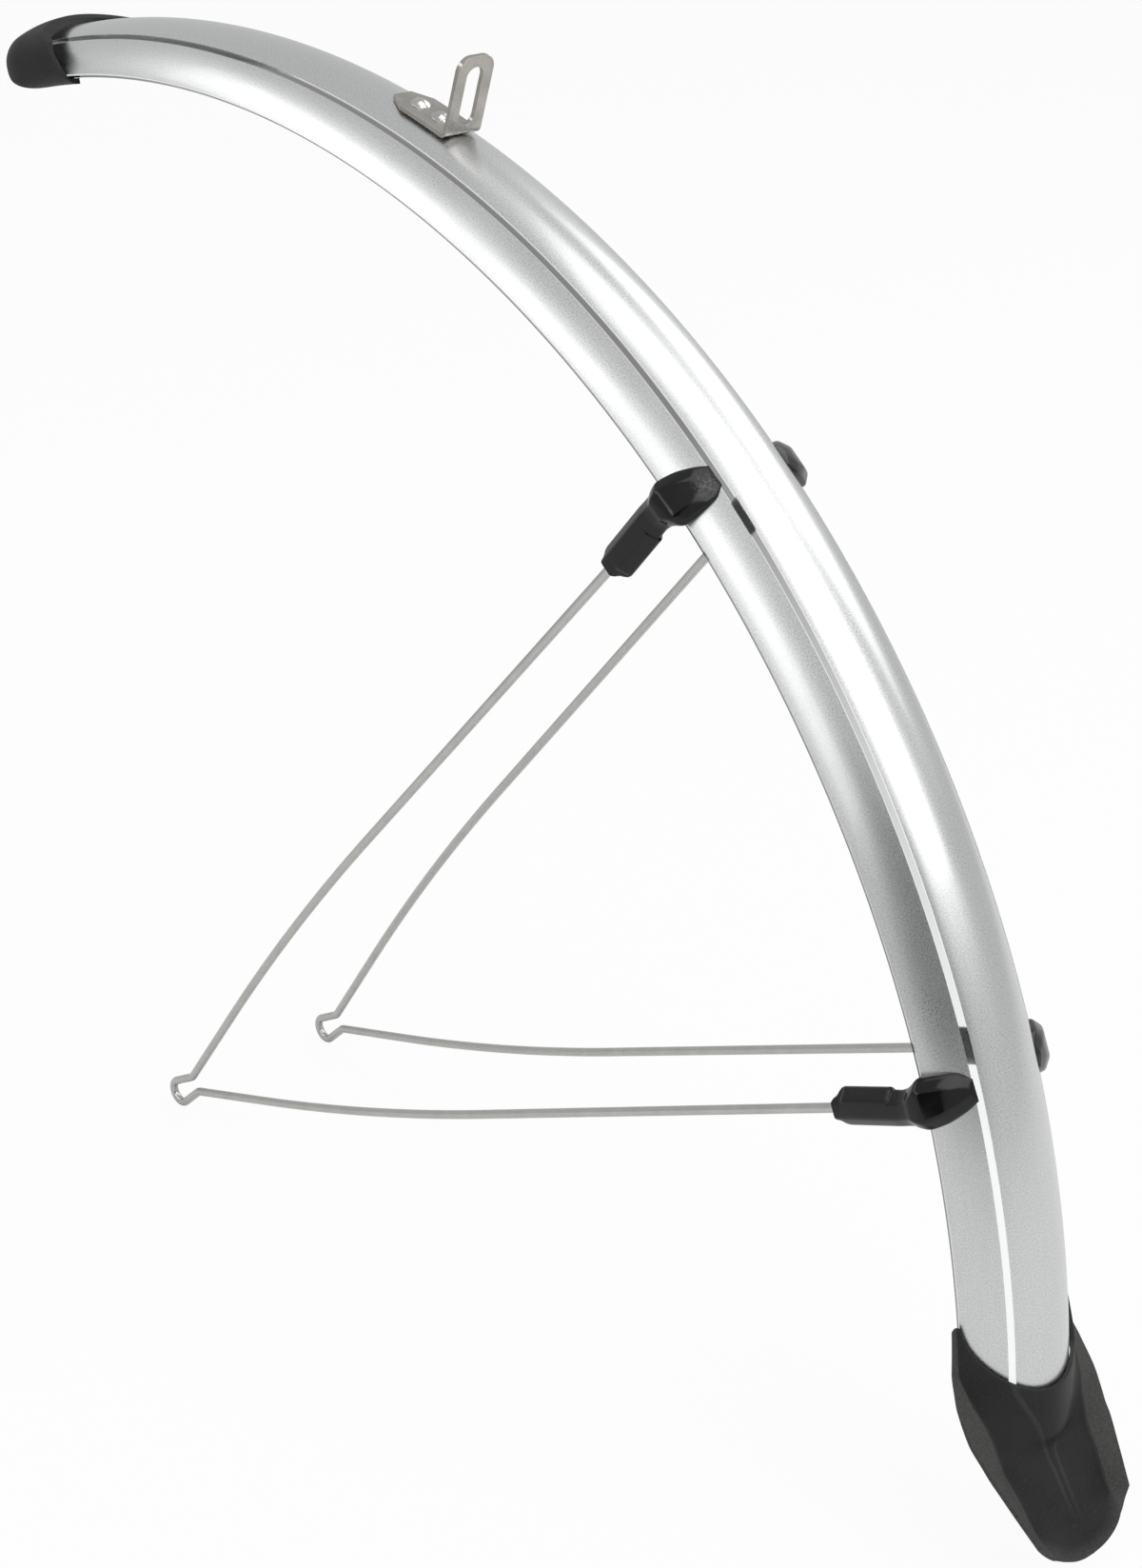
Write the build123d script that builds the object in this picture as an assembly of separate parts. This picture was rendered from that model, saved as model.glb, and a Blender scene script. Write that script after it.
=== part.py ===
from build123d import *

import os
from math import acos, asin, atan2, cos, degrees, radians, sin, sqrt

# Front bicycle mudguard for a 28-inch wheel, in millimetres.
# It is modelled around the wheel axle: X to the rear, Y to the rider's right, Z up. Angles are
# measured at the axle from the rear (0) over the top (90) to the front. The finished pieces are
# then moved so that the origin is the middle of the bracket's slot, on the face that meets the fork.

# Blade: crown and flanks are arcs that run into each other at the clear lines
CROWN_RADIUS = 362.0     # axle to the top of the crown
BLADE_WIDTH = 45.0       # across the two edges
CROWN_BEND = 20.3        # section radius of the crown
FLANK_BEND = 41.4        # section radius of the flanks
LINE_OFFSET = 12.9       # clear line, sideways from the middle
LINE_WIDTH = 2.2         # width of the clear line
EDGE_MARGIN = 0.7        # bare plastic left along each edge
BLADE_WALL = 1.2         # clear plastic
FOIL_WALL = 0.2          # silver strip
BLADE_FRONT = 104.0      # angle of the front end, inside the cap
BLADE_REAR = 2.4         # angle of the rear end, inside the flap

# Clearances
SLIP_FIT = 0.1           # mouldings over the blade, wires and shanks in their bores
SEAT_GAP = 0.05          # pieces laid or pressed on a face
DRILL = 9.0              # reach of a hole to both sides of the face that it starts from

# Crown bracket
SHEET = 1.5              # bracket thickness
BRACKET_WIDTH = 13.6     # across base and tab
BRACKET_ANGLE = 71.8     # angle of the tab
BASE_LENGTH = 28.5       # from the rear of the tab to the front of the base
BASE_CLIP = (3.4, 7.0)   # clipped front corners: across, along
TAB_HEIGHT = 26.0        # crown to the top of the tab
TAB_CORNER = 4.5         # radius of the tab's top corners
BEND_RADIUS = 1.0        # inside radius of the fold
SLOT_WIDTH = 6.3         # for an M6 bolt
SLOT_LENGTH = 18.8       # overall
SLOT_LOW = 3.8           # crown to the lower end of the slot

# Bracket rivets and their washers
RIVET_PLACES = (10.0, 19.8)  # distances from the rear of the tab
RIVET_SHANK = 4.0
RIVET_HEAD = 6.6
RIVET_DOME = 1.7
RIVET_TAIL = 5.6
RIVET_TAIL_HEIGHT = 1.1
WASHER_OUTER = 8.0
WASHER_THICKNESS = 1.0

# Stays: one wire a side, with an open eyelet near the axle
WIRE = 3.0               # wire diameter
EYELET_X = -15.3
EYELET_Y = 34.4
EYELET_Z = -24.6
EYELET_BORE = 5.5        # for an M5 bolt
EYELET_NECK = 12.0       # eyelet centre to the bend at its neck
NECK_RADIUS = 4.0        # centre-line radius of that bend
LOOP_FILLET = 0.97       # share of the loop's radius that its corners are rounded to
BOW_PLACE = 0.31         # share of a leg's length at which it turns
BOW_HEIGHT = 7.7         # how far the legs stand off the straight line there
BOW_RADIUS = 1150.0      # radius of that long bend

# Stay clips: sizes along the wire are measured from the blade's edge
UPPER_CLIP = 49.65       # angles of the clips on the blade
LOWER_CLIP = 19.3
CLIP_STAND_OFF = 1.5     # stay wire outside the blade's edge
SOCKET_LENGTH = 31.6     # down to the end of the socket
SOCKET_WIDTH = 10.7
SOCKET_THICKNESS = 7.0
SOCKET_NOSE = 4.5        # depth of the rounding at the socket's end
SOCKET_TOP = -9.6        # where the plain socket ends
FACET = 3.1              # width of the sloping faces beside the flat outer one
FACET_DROP = 2.9         # fall of those faces on the socket
WIRE_DEPTH = 19.0        # length of wire in the socket
# Neck: place, half width inside the V, half width outside the V, height over the wire
NECK_STATIONS = ((-6.5, 5.3, 5.2, 3.5), (-3.5, 5.9, 5.1, 3.7), (-1.0, 7.2, 5.5, 4.2))
# Head: the same, but with the height over the flank
HEAD_STATIONS = ((1.5, 8.9, 6.1, 6.4), (5.0, 8.5, 5.6, 6.2), (9.0, 7.6, 3.7, 4.7), (11.4, 5.0, 1.6, 2.5))
HEAD_ROOT = 7.0          # how far the head's sides run down before the blade trims them
LIP_LENGTH = 2.7         # inner lip behind the blade's edge
LIP_THICKNESS = 1.9
LIP_WIDTH = 10.0
PAD_START = 2.6          # raised strip on the side that faces the other clip
PAD_END = 10.0           # end of that strip before the blade's edge
PAD_HEIGHT = 0.8
PAD_WIDTH = 3.6
CLIP_CUT = 6.0           # angle cleared for the blade on each side of a clip

# Clip screws
SCREW_PLACE = 8.2        # along the flank from the blade's edge
SCREW_SHANK = 2.9
SCREW_HEAD = 5.0
SCREW_HEAD_HEIGHT = 1.9
SCREW_BITE = 2.4         # depth in the clip

# Front cap
CAP_WALL = 1.9
CAP_RISE = 3.5           # crown to the top of the cap
CAP_DROP = 2.9           # blade edge to the underside of the cap
CAP_UNDER = 5.0          # section radius between side and underside
CAP_SHOULDER = 10.5      # section radius between side and top
CAP_CREST = 3.1          # rise of the top from the shoulders to the middle
CAP_LIP = 5.4            # how far the underside turns in
CAP_NOSE = 104.25        # angle of the centre of the round nose
CAP_CHIN = 28.0          # radius of the lower edge, seen from the side, where it rises to the nose
CAP_CHIN_START = 7.0     # where it starts to rise, behind the centre of the nose
CAP_MOUTH = ((0.0, 100.0), (11.5, 101.3), (19.5, 104.0))  # height over the blade's edge, angle
CAP_NOTCH = 99.84        # angle of the step in the hooks
CAP_NOTCH_DEPTH = 0.9
CAP_HOOK = 99.68         # angle of the end of the hooks
CAP_CLEAR = 3.0          # angle cleared behind the hooks
CAP_END_GAP = 1.0        # angle of free groove in front of the blade

# Mud flap
FLAP_WALL = 1.3
FLAP_TOP = 49.6          # height of the side walls' top over the axle
FLAP_RIM_TOP = 49.0      # height of the ends of the scooped rim
FLAP_RIM_DEPTH = 20.0    # depth of the scoop
FLAP_RIM_MARGIN = 0.7    # scoop past the blade's edge, each side
FLAP_SIDE = 1.2          # depth of the side walls at the top
FLAP_ROOM = 0.25         # room for its flat facets round the curved blade
FLAP_BOTTOM = -20.7      # height of the lower edge
FLAP_BOTTOM_DEPTH = 28.6     # half ellipse of the lower edge
FLAP_BOTTOM_HALF = 26.0
BLADE_TAIL = 14.5        # blade end below the rim of the flap
# Shape down the flap: angle, then how far the crown, the crease, the side fold and the free edge
# have moved from their places round the blade's own section, each as sideways and radial steps
FLAP_STATIONS = (
    (9.6, 0.0, (0.0, 0.0), (0.0, 0.0), (0.6, 0.0)),
    (5.9, 0.0, (0.0, 0.0), (0.0, 0.3), (1.6, 0.8)),
    (4.3, 0.0, (0.0, 0.0), (-1.3, 4.6), (3.5, 4.4)),
    (3.0, 0.0, (0.0, 0.0), (-3.4, 8.8), (4.1, 9.1)),
    (2.0, 0.0, (-1.0, 0.0), (-4.7, 10.6), (2.9, 13.5)),
    (1.2, -3.7, (-4.8, 0.3), (-5.2, 12.8), (1.7, 17.4)),
    (0.0, 2.0, (-4.8, 6.0), (-6.4, 17.5), (-0.4, 23.0)),
    (-1.7, 10.0, (-5.8, 14.2), (-8.0, 25.0), (-3.8, 32.9)),
    (-2.4, 13.9, (-5.8, 18.8), (-9.2, 32.2), (-5.4, 36.1)),
    (-3.3, 17.6, (-5.8, 22.6), (-10.0, 35.4), (-6.6, 37.4)),
)

AXLE = Axis((0, 0, 0), (0, -1, 0))
SECTION = Plane((0, 0, 0), x_dir=(0, 1, 0), z_dir=(0, 0, -1))  # sideways, radius

# Worked-out blade sizes
CROWN_CENTRE = CROWN_RADIUS - CROWN_BEND
LINE_ANGLE = asin(LINE_OFFSET / CROWN_BEND)
FLANK_CENTRE_Y = (CROWN_BEND - FLANK_BEND) * sin(LINE_ANGLE)
FLANK_CENTRE_R = CROWN_CENTRE + (CROWN_BEND - FLANK_BEND) * cos(LINE_ANGLE)
EDGE_HALF = BLADE_WIDTH / 2
EDGE_ANGLE = asin((EDGE_HALF - FLANK_CENTRE_Y) / FLANK_BEND)
EDGE_RADIUS = FLANK_CENTRE_R + FLANK_BEND * cos(EDGE_ANGLE)
FOIL_SEAT = FOIL_WALL + SEAT_GAP
SKIN = FOIL_SEAT + BLADE_WALL


def crown_point(angle, depth):
    """Point of the crown arc in the section, at a depth under the outer face."""
    reach = CROWN_BEND - depth
    return reach * sin(angle), CROWN_CENTRE + reach * cos(angle)


def flank_point(angle, depth, side=1):
    """Point of a flank arc in the section, at a depth under the outer face."""
    reach = FLANK_BEND - depth
    return side * (FLANK_CENTRE_Y + reach * sin(angle)), FLANK_CENTRE_R + reach * cos(angle)


def flank_half_width(radius, depth=0.0):
    """Half width of the blade where its flank lies at a given radius."""
    reach = FLANK_BEND - depth
    return FLANK_CENTRE_Y + reach * sin(acos((radius - FLANK_CENTRE_R) / reach))


def arc(point, first, last):
    """Edge along a section arc between two angles."""
    return ThreePointArc(point(first), point((first + last) / 2), point(last))


def band(point, first, last, outer, inner):
    """Closed section between two depths and two angles of one arc."""
    ends = [Line(point(a, outer), point(a, inner)) for a in (first, last)]
    arcs = [arc(lambda a, d=depth: point(a, d), first, last) for depth in (outer, inner)]
    return make_face(arcs + ends)


def wall_section(outer, inner, overrun=0.0):
    """Closed section of the whole blade between two depths, with its edges run on if asked."""
    edge = EDGE_ANGLE + overrun / FLANK_BEND
    edges = []
    for depth in (outer, inner):
        edges.append(arc(lambda a: crown_point(a, depth), -LINE_ANGLE, LINE_ANGLE))
        for side in (-1, 1):
            edges.append(arc(lambda a: flank_point(a, depth, side), LINE_ANGLE, edge))
    for side in (-1, 1):
        edges.append(Line(flank_point(edge, outer, side), flank_point(edge, inner, side)))
    return make_face(edges)


def ring(section, first, last):
    """Turns a section about the axle from one angle to another."""
    solid = revolve(SECTION * section, axis=AXLE, revolution_arc=last - first)
    return solid.rotate(AXLE, first)


def radial_plane(angle, radius):
    """Plane on the crown line whose normal points away from the axle; its X axis points forward."""
    a = radians(angle)
    outward = (cos(a), 0, sin(a))
    return Plane((radius * cos(a), 0, radius * sin(a)), x_dir=(-sin(a), 0, cos(a)), z_dir=outward)


def along_crown(distance):
    """Angle that lies a distance forward of the tab, measured on the crown."""
    return BRACKET_ANGLE + degrees(distance / CROWN_RADIUS)


def post(plane, diameter, low, high):
    """Cylinder on a plane's normal between two heights."""
    return plane * Pos(0, 0, (low + high) / 2) * Cylinder(diameter / 2, high - low)


def mirrored(solid):
    """Right-hand copy of a left-hand piece."""
    return mirror(solid, about=Plane.XZ)


class Clip:
    """Frame of a left stay clip: X along the socket to the rim, Z away from the wheel."""

    def __init__(self, angle, pad_side):
        a = radians(angle)
        self.angle = angle
        self.pad_side = pad_side
        self.eyelet = Vector(EYELET_X, -EYELET_Y, EYELET_Z)
        side = -(EDGE_HALF + CLIP_STAND_OFF)
        self.edge = Vector(EDGE_RADIUS * cos(a), side, EDGE_RADIUS * sin(a))
        self.leg = self.edge - self.eyelet

    def frame(self):
        """Plane at the blade's edge."""
        return Plane(self.edge, x_dir=self.leg, z_dir=STAY_NORMAL)


UPPER = Clip(UPPER_CLIP, -1)
LOWER = Clip(LOWER_CLIP, 1)
STAY_NORMAL = LOWER.leg.cross(UPPER.leg).normalized()
STAY_PLANE = Plane(LOWER.eyelet, x_dir=LOWER.leg, z_dir=STAY_NORMAL)
STAY_SPREAD = radians(UPPER.leg.get_angle(LOWER.leg))


def polar(radius, angle):
    """Point in the stay's plane, with the angle in radians from the lower leg."""
    return Vector(radius * cos(angle), radius * sin(angle))


def stay_leg(clip, angle, outside):
    """End, bow and neck points of one leg, in the stay's plane.

    The leg stands off the straight line to its clip, on the outside of the V.
    """
    aim = polar(clip.leg.length - SOCKET_LENGTH + WIRE_DEPTH / 2, angle)
    stand_off = polar(BOW_HEIGHT, angle + outside * radians(90))
    bow = polar(BOW_PLACE * clip.leg.length, angle) + stand_off
    end = aim + (aim - bow).normalized() * (WIRE_DEPTH / 2)
    return end, bow, polar(EYELET_NECK, angle)


UPPER_LEG = stay_leg(UPPER, STAY_SPREAD, 1)
LOWER_LEG = stay_leg(LOWER, 0.0, -1)


def stay():
    """Left stay: a wire that comes down one leg, round the open eyelet and up the other leg.

    The eyelet is a round loop between three corners, open towards the blade.
    """
    loop = (EYELET_BORE + WIRE) / 2
    middle = STAY_SPREAD / 2
    first = middle + acos(loop / EYELET_NECK)
    half_turn = (radians(180) - first) / 3
    reach = loop / cos(half_turn)
    corners = [polar(reach, middle + first + k * half_turn) for k in (1, 3, 5)]
    points = [*UPPER_LEG, *corners, *reversed(LOWER_LEG)]
    loop_radius = loop * LOOP_FILLET
    radii = [BOW_RADIUS, NECK_RADIUS, *[loop_radius] * 3, NECK_RADIUS, BOW_RADIUS]
    path = STAY_PLANE * FilletPolyline(*points, radius=radii)
    start = Plane(path @ 0, z_dir=path % 0)
    return sweep(start * Circle(WIRE / 2), path=path)


def wire_bore(leg):
    """Straight bore for the end of a stay's leg, run out past the mouth of the socket."""
    end = STAY_PLANE.from_local_coords(leg[0])
    bow = STAY_PLANE.from_local_coords(leg[1])
    plane = Plane(end, z_dir=bow - end)
    return post(plane, WIRE + 2 * SLIP_FIT, -SLIP_FIT, WIRE_DEPTH + SOCKET_WIDTH)


def clip_section(clip, x, inner, outer, top, drop, bottom):
    """Eight-sided section across a clip, with its sides named after the inside of the V."""
    side = clip.pad_side
    heel = min(bottom + FACET_DROP, top - drop)
    points = [(inner, heel), (inner, top - drop), (inner - FACET, top), (FACET - outer, top),
              (-outer, top - drop), (-outer, heel), (FACET - outer, bottom), (inner - FACET, bottom)]
    across = Plane((x, 0, 0), x_dir=(0, 1, 0), z_dir=(1, 0, 0))
    return across * make_face(Polyline(*[(side * y, z) for y, z in points], close=True))


def flank_height(x, depth=0.0):
    """Height of the blade's flank over the stay's plane, a distance x past the blade's edge."""
    return flank_half_width(EDGE_RADIUS + x, depth) - EDGE_HALF - CLIP_STAND_OFF


def clip_body(clip):
    """Eight-sided socket with a rounded end and the humped head that it runs into."""
    half, thick = SOCKET_WIDTH / 2, SOCKET_THICKNESS / 2
    ends = [clip_section(clip, x, half, half, thick, FACET_DROP, -thick)
            for x in (-SOCKET_LENGTH, SOCKET_TOP)]
    neck = [clip_section(clip, x, inner, outer, top, FACET_DROP, -thick)
            for x, inner, outer, top in NECK_STATIONS]
    head = [clip_section(clip, x, inner, outer, flank_height(x) + lift, lift / 2,
                         flank_height(x) - HEAD_ROOT)
            for x, inner, outer, lift in HEAD_STATIONS]
    start = SOCKET_NOSE - SOCKET_LENGTH
    plan = make_face([ThreePointArc((start, half), (-SOCKET_LENGTH, 0), (start, -half)),
                      Polyline((start, -half), (0, -half), (0, half), (start, half))])
    socket = loft(ends, ruled=True) & extrude(plan, amount=thick, both=True)
    rise = loft([ends[1], *neck, *head[:2]])
    tip = loft(head[1:], ruled=True)
    return socket + rise + tip + clip_pad(clip.pad_side)


def clip_lip():
    """Lip that reaches up behind the blade's edge."""
    low = NECK_STATIONS[1][0]
    back = -SOCKET_THICKNESS / 2
    inside = flank_height(LIP_LENGTH, SKIN)
    points = [(low, back / 2), (0, back - SKIN), (LIP_LENGTH, inside - LIP_THICKNESS),
              (LIP_LENGTH, inside + SKIN / 2), (0, 0), (low, 0)]
    profile = Plane((0, LIP_WIDTH / 2, 0), x_dir=(1, 0, 0), z_dir=(0, -1, 0))
    return extrude(profile * make_face(Polyline(*points, close=True)), amount=LIP_WIDTH)


def clip_pad(side):
    """Raised strip along one side of the socket."""
    first, last = PAD_START - SOCKET_LENGTH, -PAD_END
    y = side * SOCKET_WIDTH / 2
    return Pos((first + last) / 2, y, 0) * Box(last - first, 2 * PAD_HEIGHT, PAD_WIDTH)


def screw_plane(clip):
    """Plane on the inner face of the left flank under a clip's head, normal to the flank."""
    a = radians(clip.angle)
    tilt = EDGE_ANGLE - SCREW_PLACE / FLANK_BEND
    y, radius = flank_point(tilt, SKIN, -1)
    outward = (cos(tilt) * cos(a), -sin(tilt), cos(tilt) * sin(a))
    return Plane((radius * cos(a), y, radius * sin(a)), z_dir=outward)


def stay_clip(clip, leg):
    """Left stay clip, seated on the flank and round the edge of the blade."""
    first, last = clip.angle - CLIP_CUT, clip.angle + CLIP_CUT
    under = ring(gutter_section(), first, last)
    slot = ring(wall_section(-SEAT_GAP, SKIN + SEAT_GAP, SLIP_FIT), first, last)
    outside = clip.frame() * clip_body(clip) - under
    body = outside + clip.frame() * clip_lip() - slot
    pilot = post(screw_plane(clip), SCREW_SHANK + 2 * SLIP_FIT, 0, SKIN + SCREW_BITE + SLIP_FIT)
    return body - wire_bore(leg) - pilot


def clip_screw(clip):
    """Short screw from the wheel side through the left flank into a clip."""
    plane = screw_plane(clip)
    sag = (SCREW_HEAD / 2) ** 2 / (2 * (FLANK_BEND - SKIN)) + SEAT_GAP
    shank = post(plane, SCREW_SHANK, -sag, SKIN + SCREW_BITE)
    head = post(plane, SCREW_HEAD, -sag - SCREW_HEAD_HEIGHT, -sag)
    rim = head.edges().group_by(lambda e: (e.center() - plane.origin).dot(plane.z_dir))[0]
    return fillet(rim, SCREW_HEAD_HEIGHT / 2) + shank


def gutter_section():
    """Section of everything between the blade's outer face and the line across its edges."""
    edge = EDGE_ANGLE + SLIP_FIT / FLANK_BEND
    edges = [arc(lambda a: crown_point(a, -SEAT_GAP), -LINE_ANGLE, LINE_ANGLE)]
    for side in (-1, 1):
        edges.append(arc(lambda a: flank_point(a, -SEAT_GAP, side), LINE_ANGLE, edge))
    edges.append(Line(flank_point(edge, -SEAT_GAP, -1), flank_point(edge, -SEAT_GAP, 1)))
    return make_face(edges)


def scoop(top, depth, half_width):
    """Solid above a half ellipse that is open upwards, seen from the rear."""
    across = Plane((0, 0, top), x_dir=(0, 1, 0), z_dir=(1, 0, 0))
    reach = 2 * CROWN_RADIUS
    half_ellipse = extrude(across * Ellipse(half_width, depth), amount=reach, both=True)
    above = Pos(0, 0, top + reach / 2) * Box(2 * reach, 2 * half_width, reach)
    return half_ellipse + above


def below_scoop(top, depth, half_width):
    """Solid under such a half ellipse, at the rear of the wheel."""
    across = Plane((0, 0, top), x_dir=(0, 1, 0), z_dir=(1, 0, 0))
    reach = CROWN_RADIUS / 2
    under = Pos(0, -reach / 2) * Rectangle(4 * half_width, reach) - Ellipse(half_width, depth)
    return extrude(across * under, amount=2 * CROWN_RADIUS)


def blade_pieces():
    """Clear blade and its three foil strips, with holes for the rivets and screws."""
    line = LINE_WIDTH / 2
    crown_stop = LINE_ANGLE - line / CROWN_BEND
    flank_start = LINE_ANGLE + line / FLANK_BEND
    flank_stop = EDGE_ANGLE - EDGE_MARGIN / FLANK_BEND
    sections = {"blade": wall_section(FOIL_SEAT, SKIN),
                "foil_crown": band(crown_point, -crown_stop, crown_stop, 0, FOIL_WALL)}
    for name, side in (("left", -1), ("right", 1)):
        sections[f"foil_flank_{name}"] = band(
            lambda a, d, s=side: flank_point(a, d, s), flank_start, flank_stop, 0, FOIL_WALL)
    tail = below_scoop(FLAP_RIM_TOP - BLADE_TAIL, FLAP_RIM_DEPTH, EDGE_HALF + FLAP_RIM_MARGIN)
    rivets = [post(radial_plane(along_crown(s), CROWN_RADIUS), RIVET_SHANK + 2 * SLIP_FIT, -DRILL, DRILL)
              for s in RIVET_PLACES]
    screws = [post(screw_plane(c), SCREW_SHANK + 2 * SLIP_FIT, -DRILL, DRILL) for c in (UPPER, LOWER)]
    screws += [mirrored(s) for s in screws]
    pieces = {}
    for name, section in sections.items():
        solid = ring(section, BLADE_REAR, BLADE_FRONT) - tail
        holes = screws if "flank" in name else rivets if "crown" in name else rivets + screws
        pieces[name] = solid - holes
    return pieces


def bracket():
    """Folded steel bracket: base on the crown, slotted tab behind it."""
    tab_plane = radial_plane(BRACKET_ANGLE, CROWN_RADIUS)
    half = BRACKET_WIDTH / 2
    strip = Pos(0, CROWN_RADIUS + SHEET / 2) * Rectangle(BRACKET_WIDTH, SHEET)
    base = ring(strip, BRACKET_ANGLE, along_crown(BASE_LENGTH))
    across, along = BASE_CLIP
    plan = Polyline((0, -half), (BASE_LENGTH - along, -half), (BASE_LENGTH, across - half),
                    (BASE_LENGTH, half - across), (BASE_LENGTH - along, half), (0, half), close=True)
    middle = radial_plane(along_crown(BASE_LENGTH / 2), CROWN_RADIUS - SHEET)
    base &= extrude(middle * Pos(-BASE_LENGTH / 2, 0) * make_face(plan), amount=4 * SHEET)
    tab = tab_plane * Pos(SHEET / 2, 0, TAB_HEIGHT / 2) * Box(SHEET, BRACKET_WIDTH, TAB_HEIGHT)
    top = tab.edges().filter_by(lambda e: abs((e % 0.5).dot(tab_plane.x_dir)) > 0.99)
    top = top.group_by(lambda e: (e.center() - tab_plane.origin).dot(tab_plane.z_dir))[-1]
    plate = base + fillet(top, TAB_CORNER)
    folds = plate.edges().filter_by(Axis.Y)
    inner = folds.sort_by_distance(tab_plane.from_local_coords((SHEET, 0, SHEET)))[0]
    plate = fillet(inner, BEND_RADIUS)
    folds = plate.edges().filter_by(Axis.Y)
    outer = folds.sort_by_distance(tab_plane.origin)[0]
    plate = fillet(outer, BEND_RADIUS + SHEET)
    slot_plane = Plane(slot_centre(), x_dir=tab_plane.z_dir, z_dir=tab_plane.x_dir)
    slot = extrude(slot_plane * SlotOverall(SLOT_LENGTH, SLOT_WIDTH), amount=2 * SHEET, both=True)
    holes = [post(radial_plane(along_crown(s), CROWN_RADIUS), RIVET_SHANK + 2 * SLIP_FIT, -DRILL, DRILL)
             for s in RIVET_PLACES]
    return plate - slot - holes


def slot_centre():
    """Middle of the bracket's slot, on the face that meets the fork crown."""
    plane = radial_plane(BRACKET_ANGLE, CROWN_RADIUS)
    return plane.from_local_coords((SHEET, 0, SLOT_LOW + SLOT_LENGTH / 2))


def washer_top():
    """Height of a flat washer's upper face under the hollow of the crown."""
    reach = CROWN_BEND - SKIN
    return CROWN_CENTRE + sqrt(reach ** 2 - (WASHER_OUTER / 2) ** 2) - CROWN_RADIUS - SEAT_GAP


def rivet(distance):
    """Domed rivet through the bracket, the blade and a washer."""
    plane = radial_plane(along_crown(distance), CROWN_RADIUS)
    ball = ((RIVET_HEAD / 2) ** 2 + RIVET_DOME ** 2) / (2 * RIVET_DOME)
    dome = Pos(0, 0, SHEET + RIVET_DOME - ball) * Sphere(ball)
    dome &= Pos(0, 0, SHEET + ball) * Box(2 * ball, 2 * ball, 2 * ball)
    tail_top = washer_top() - WASHER_THICKNESS
    tail_low = tail_top - RIVET_TAIL_HEIGHT
    middle = (tail_top + tail_low) / 2
    tail = Pos(0, 0, middle) * Cone(RIVET_SHANK / 2, RIVET_TAIL / 2, RIVET_TAIL_HEIGHT)
    return plane * (dome + tail) + post(plane, RIVET_SHANK, tail_low, SHEET)


def rivet_washer(distance):
    """Washer under the crown of the blade."""
    plane = radial_plane(along_crown(distance), CROWN_RADIUS)
    top = washer_top()
    disc = post(plane, WASHER_OUTER, top - WASHER_THICKNESS, top)
    return disc - post(plane, RIVET_SHANK + 2 * SLIP_FIT, top - 2 * WASHER_THICKNESS, top + WASHER_THICKNESS)


def cap_half_section(inset):
    """Half section of the front cap: turned-in underside, side, shoulder and slightly domed top.

    The inset is measured inwards from the outer face. With an inset, the section is that of the
    hollow, which runs out through the opening in the underside.
    """
    low = EDGE_RADIUS - CAP_DROP
    top = CROWN_RADIUS + CAP_RISE
    half = EDGE_HALF + SLIP_FIT + CAP_WALL
    under_y, under_r = half - CAP_UNDER, low + CAP_UNDER
    height = CAP_SHOULDER + CAP_CREST
    shoulder_y, shoulder_r = half - CAP_SHOULDER, top - height
    dome = (shoulder_y ** 2 + height ** 2 - CAP_SHOULDER ** 2) / (2 * (height - CAP_SHOULDER))
    turn = atan2(shoulder_y, shoulder_r - top + dome)

    def corner(y, radius, bend):
        return lambda a: (y + (bend - inset) * sin(a), radius + (bend - inset) * cos(a))

    under = corner(under_y, under_r, CAP_UNDER)
    shoulder = corner(shoulder_y, shoulder_r, CAP_SHOULDER)
    crest = corner(0, top - dome, dome)
    foot = [(0, low), under(radians(180))]
    if inset:
        opening = half - CAP_LIP
        foot = [(0, low - inset), (opening, low - inset), (opening, low + inset), under(radians(180))]
    return make_face([Polyline(*foot), arc(under, radians(180), radians(90)),
                      Line(under(radians(90)), shoulder(radians(90))),
                      arc(shoulder, radians(90), turn), arc(crest, turn, 0),
                      Line(crest(0), foot[0])])


def cap_body(half_section):
    """Half section carried along the blade to the nose, and turned round the nose."""
    whole = half_section + mirror(half_section, about=Plane.YZ)
    a = radians(CAP_NOSE)
    nose_axis = Axis((0, 0, 0), (cos(a), 0, sin(a)))
    nose = revolve((SECTION * half_section).rotate(AXLE, CAP_NOSE), axis=nose_axis)
    return ring(whole, CAP_HOOK, CAP_NOSE) + nose


def front_cap():
    """Hood on the front end of the blade, with a turned-in underside that runs back as two hooks."""
    shell = cap_body(cap_half_section(0)) - cap_body(cap_half_section(CAP_WALL))
    behind = CAP_HOOK - CAP_CLEAR
    low = EDGE_RADIUS - CAP_NOTCH_DEPTH
    corners = [(low, behind), (low, CAP_NOTCH), (EDGE_RADIUS, CAP_NOTCH)]
    corners += [(EDGE_RADIUS + height, angle) for height, angle in CAP_MOUTH]
    top = corners[-1][0] + CAP_RISE
    corners += [(top, CAP_MOUTH[-1][1]), (top, behind)]
    points = [(r * cos(radians(a)), r * sin(radians(a))) for r, a in corners]
    side_view = Plane((0, 0, 0), x_dir=(1, 0, 0), z_dir=(0, -1, 0))
    mouth = extrude(side_view * make_face(Polyline(*points, close=True)), amount=BLADE_WIDTH, both=True)
    groove = ring(wall_section(-SLIP_FIT, SKIN + SLIP_FIT, SLIP_FIT), behind, BLADE_FRONT + CAP_END_GAP)
    return shell - mouth - groove - cap_chin()


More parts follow.
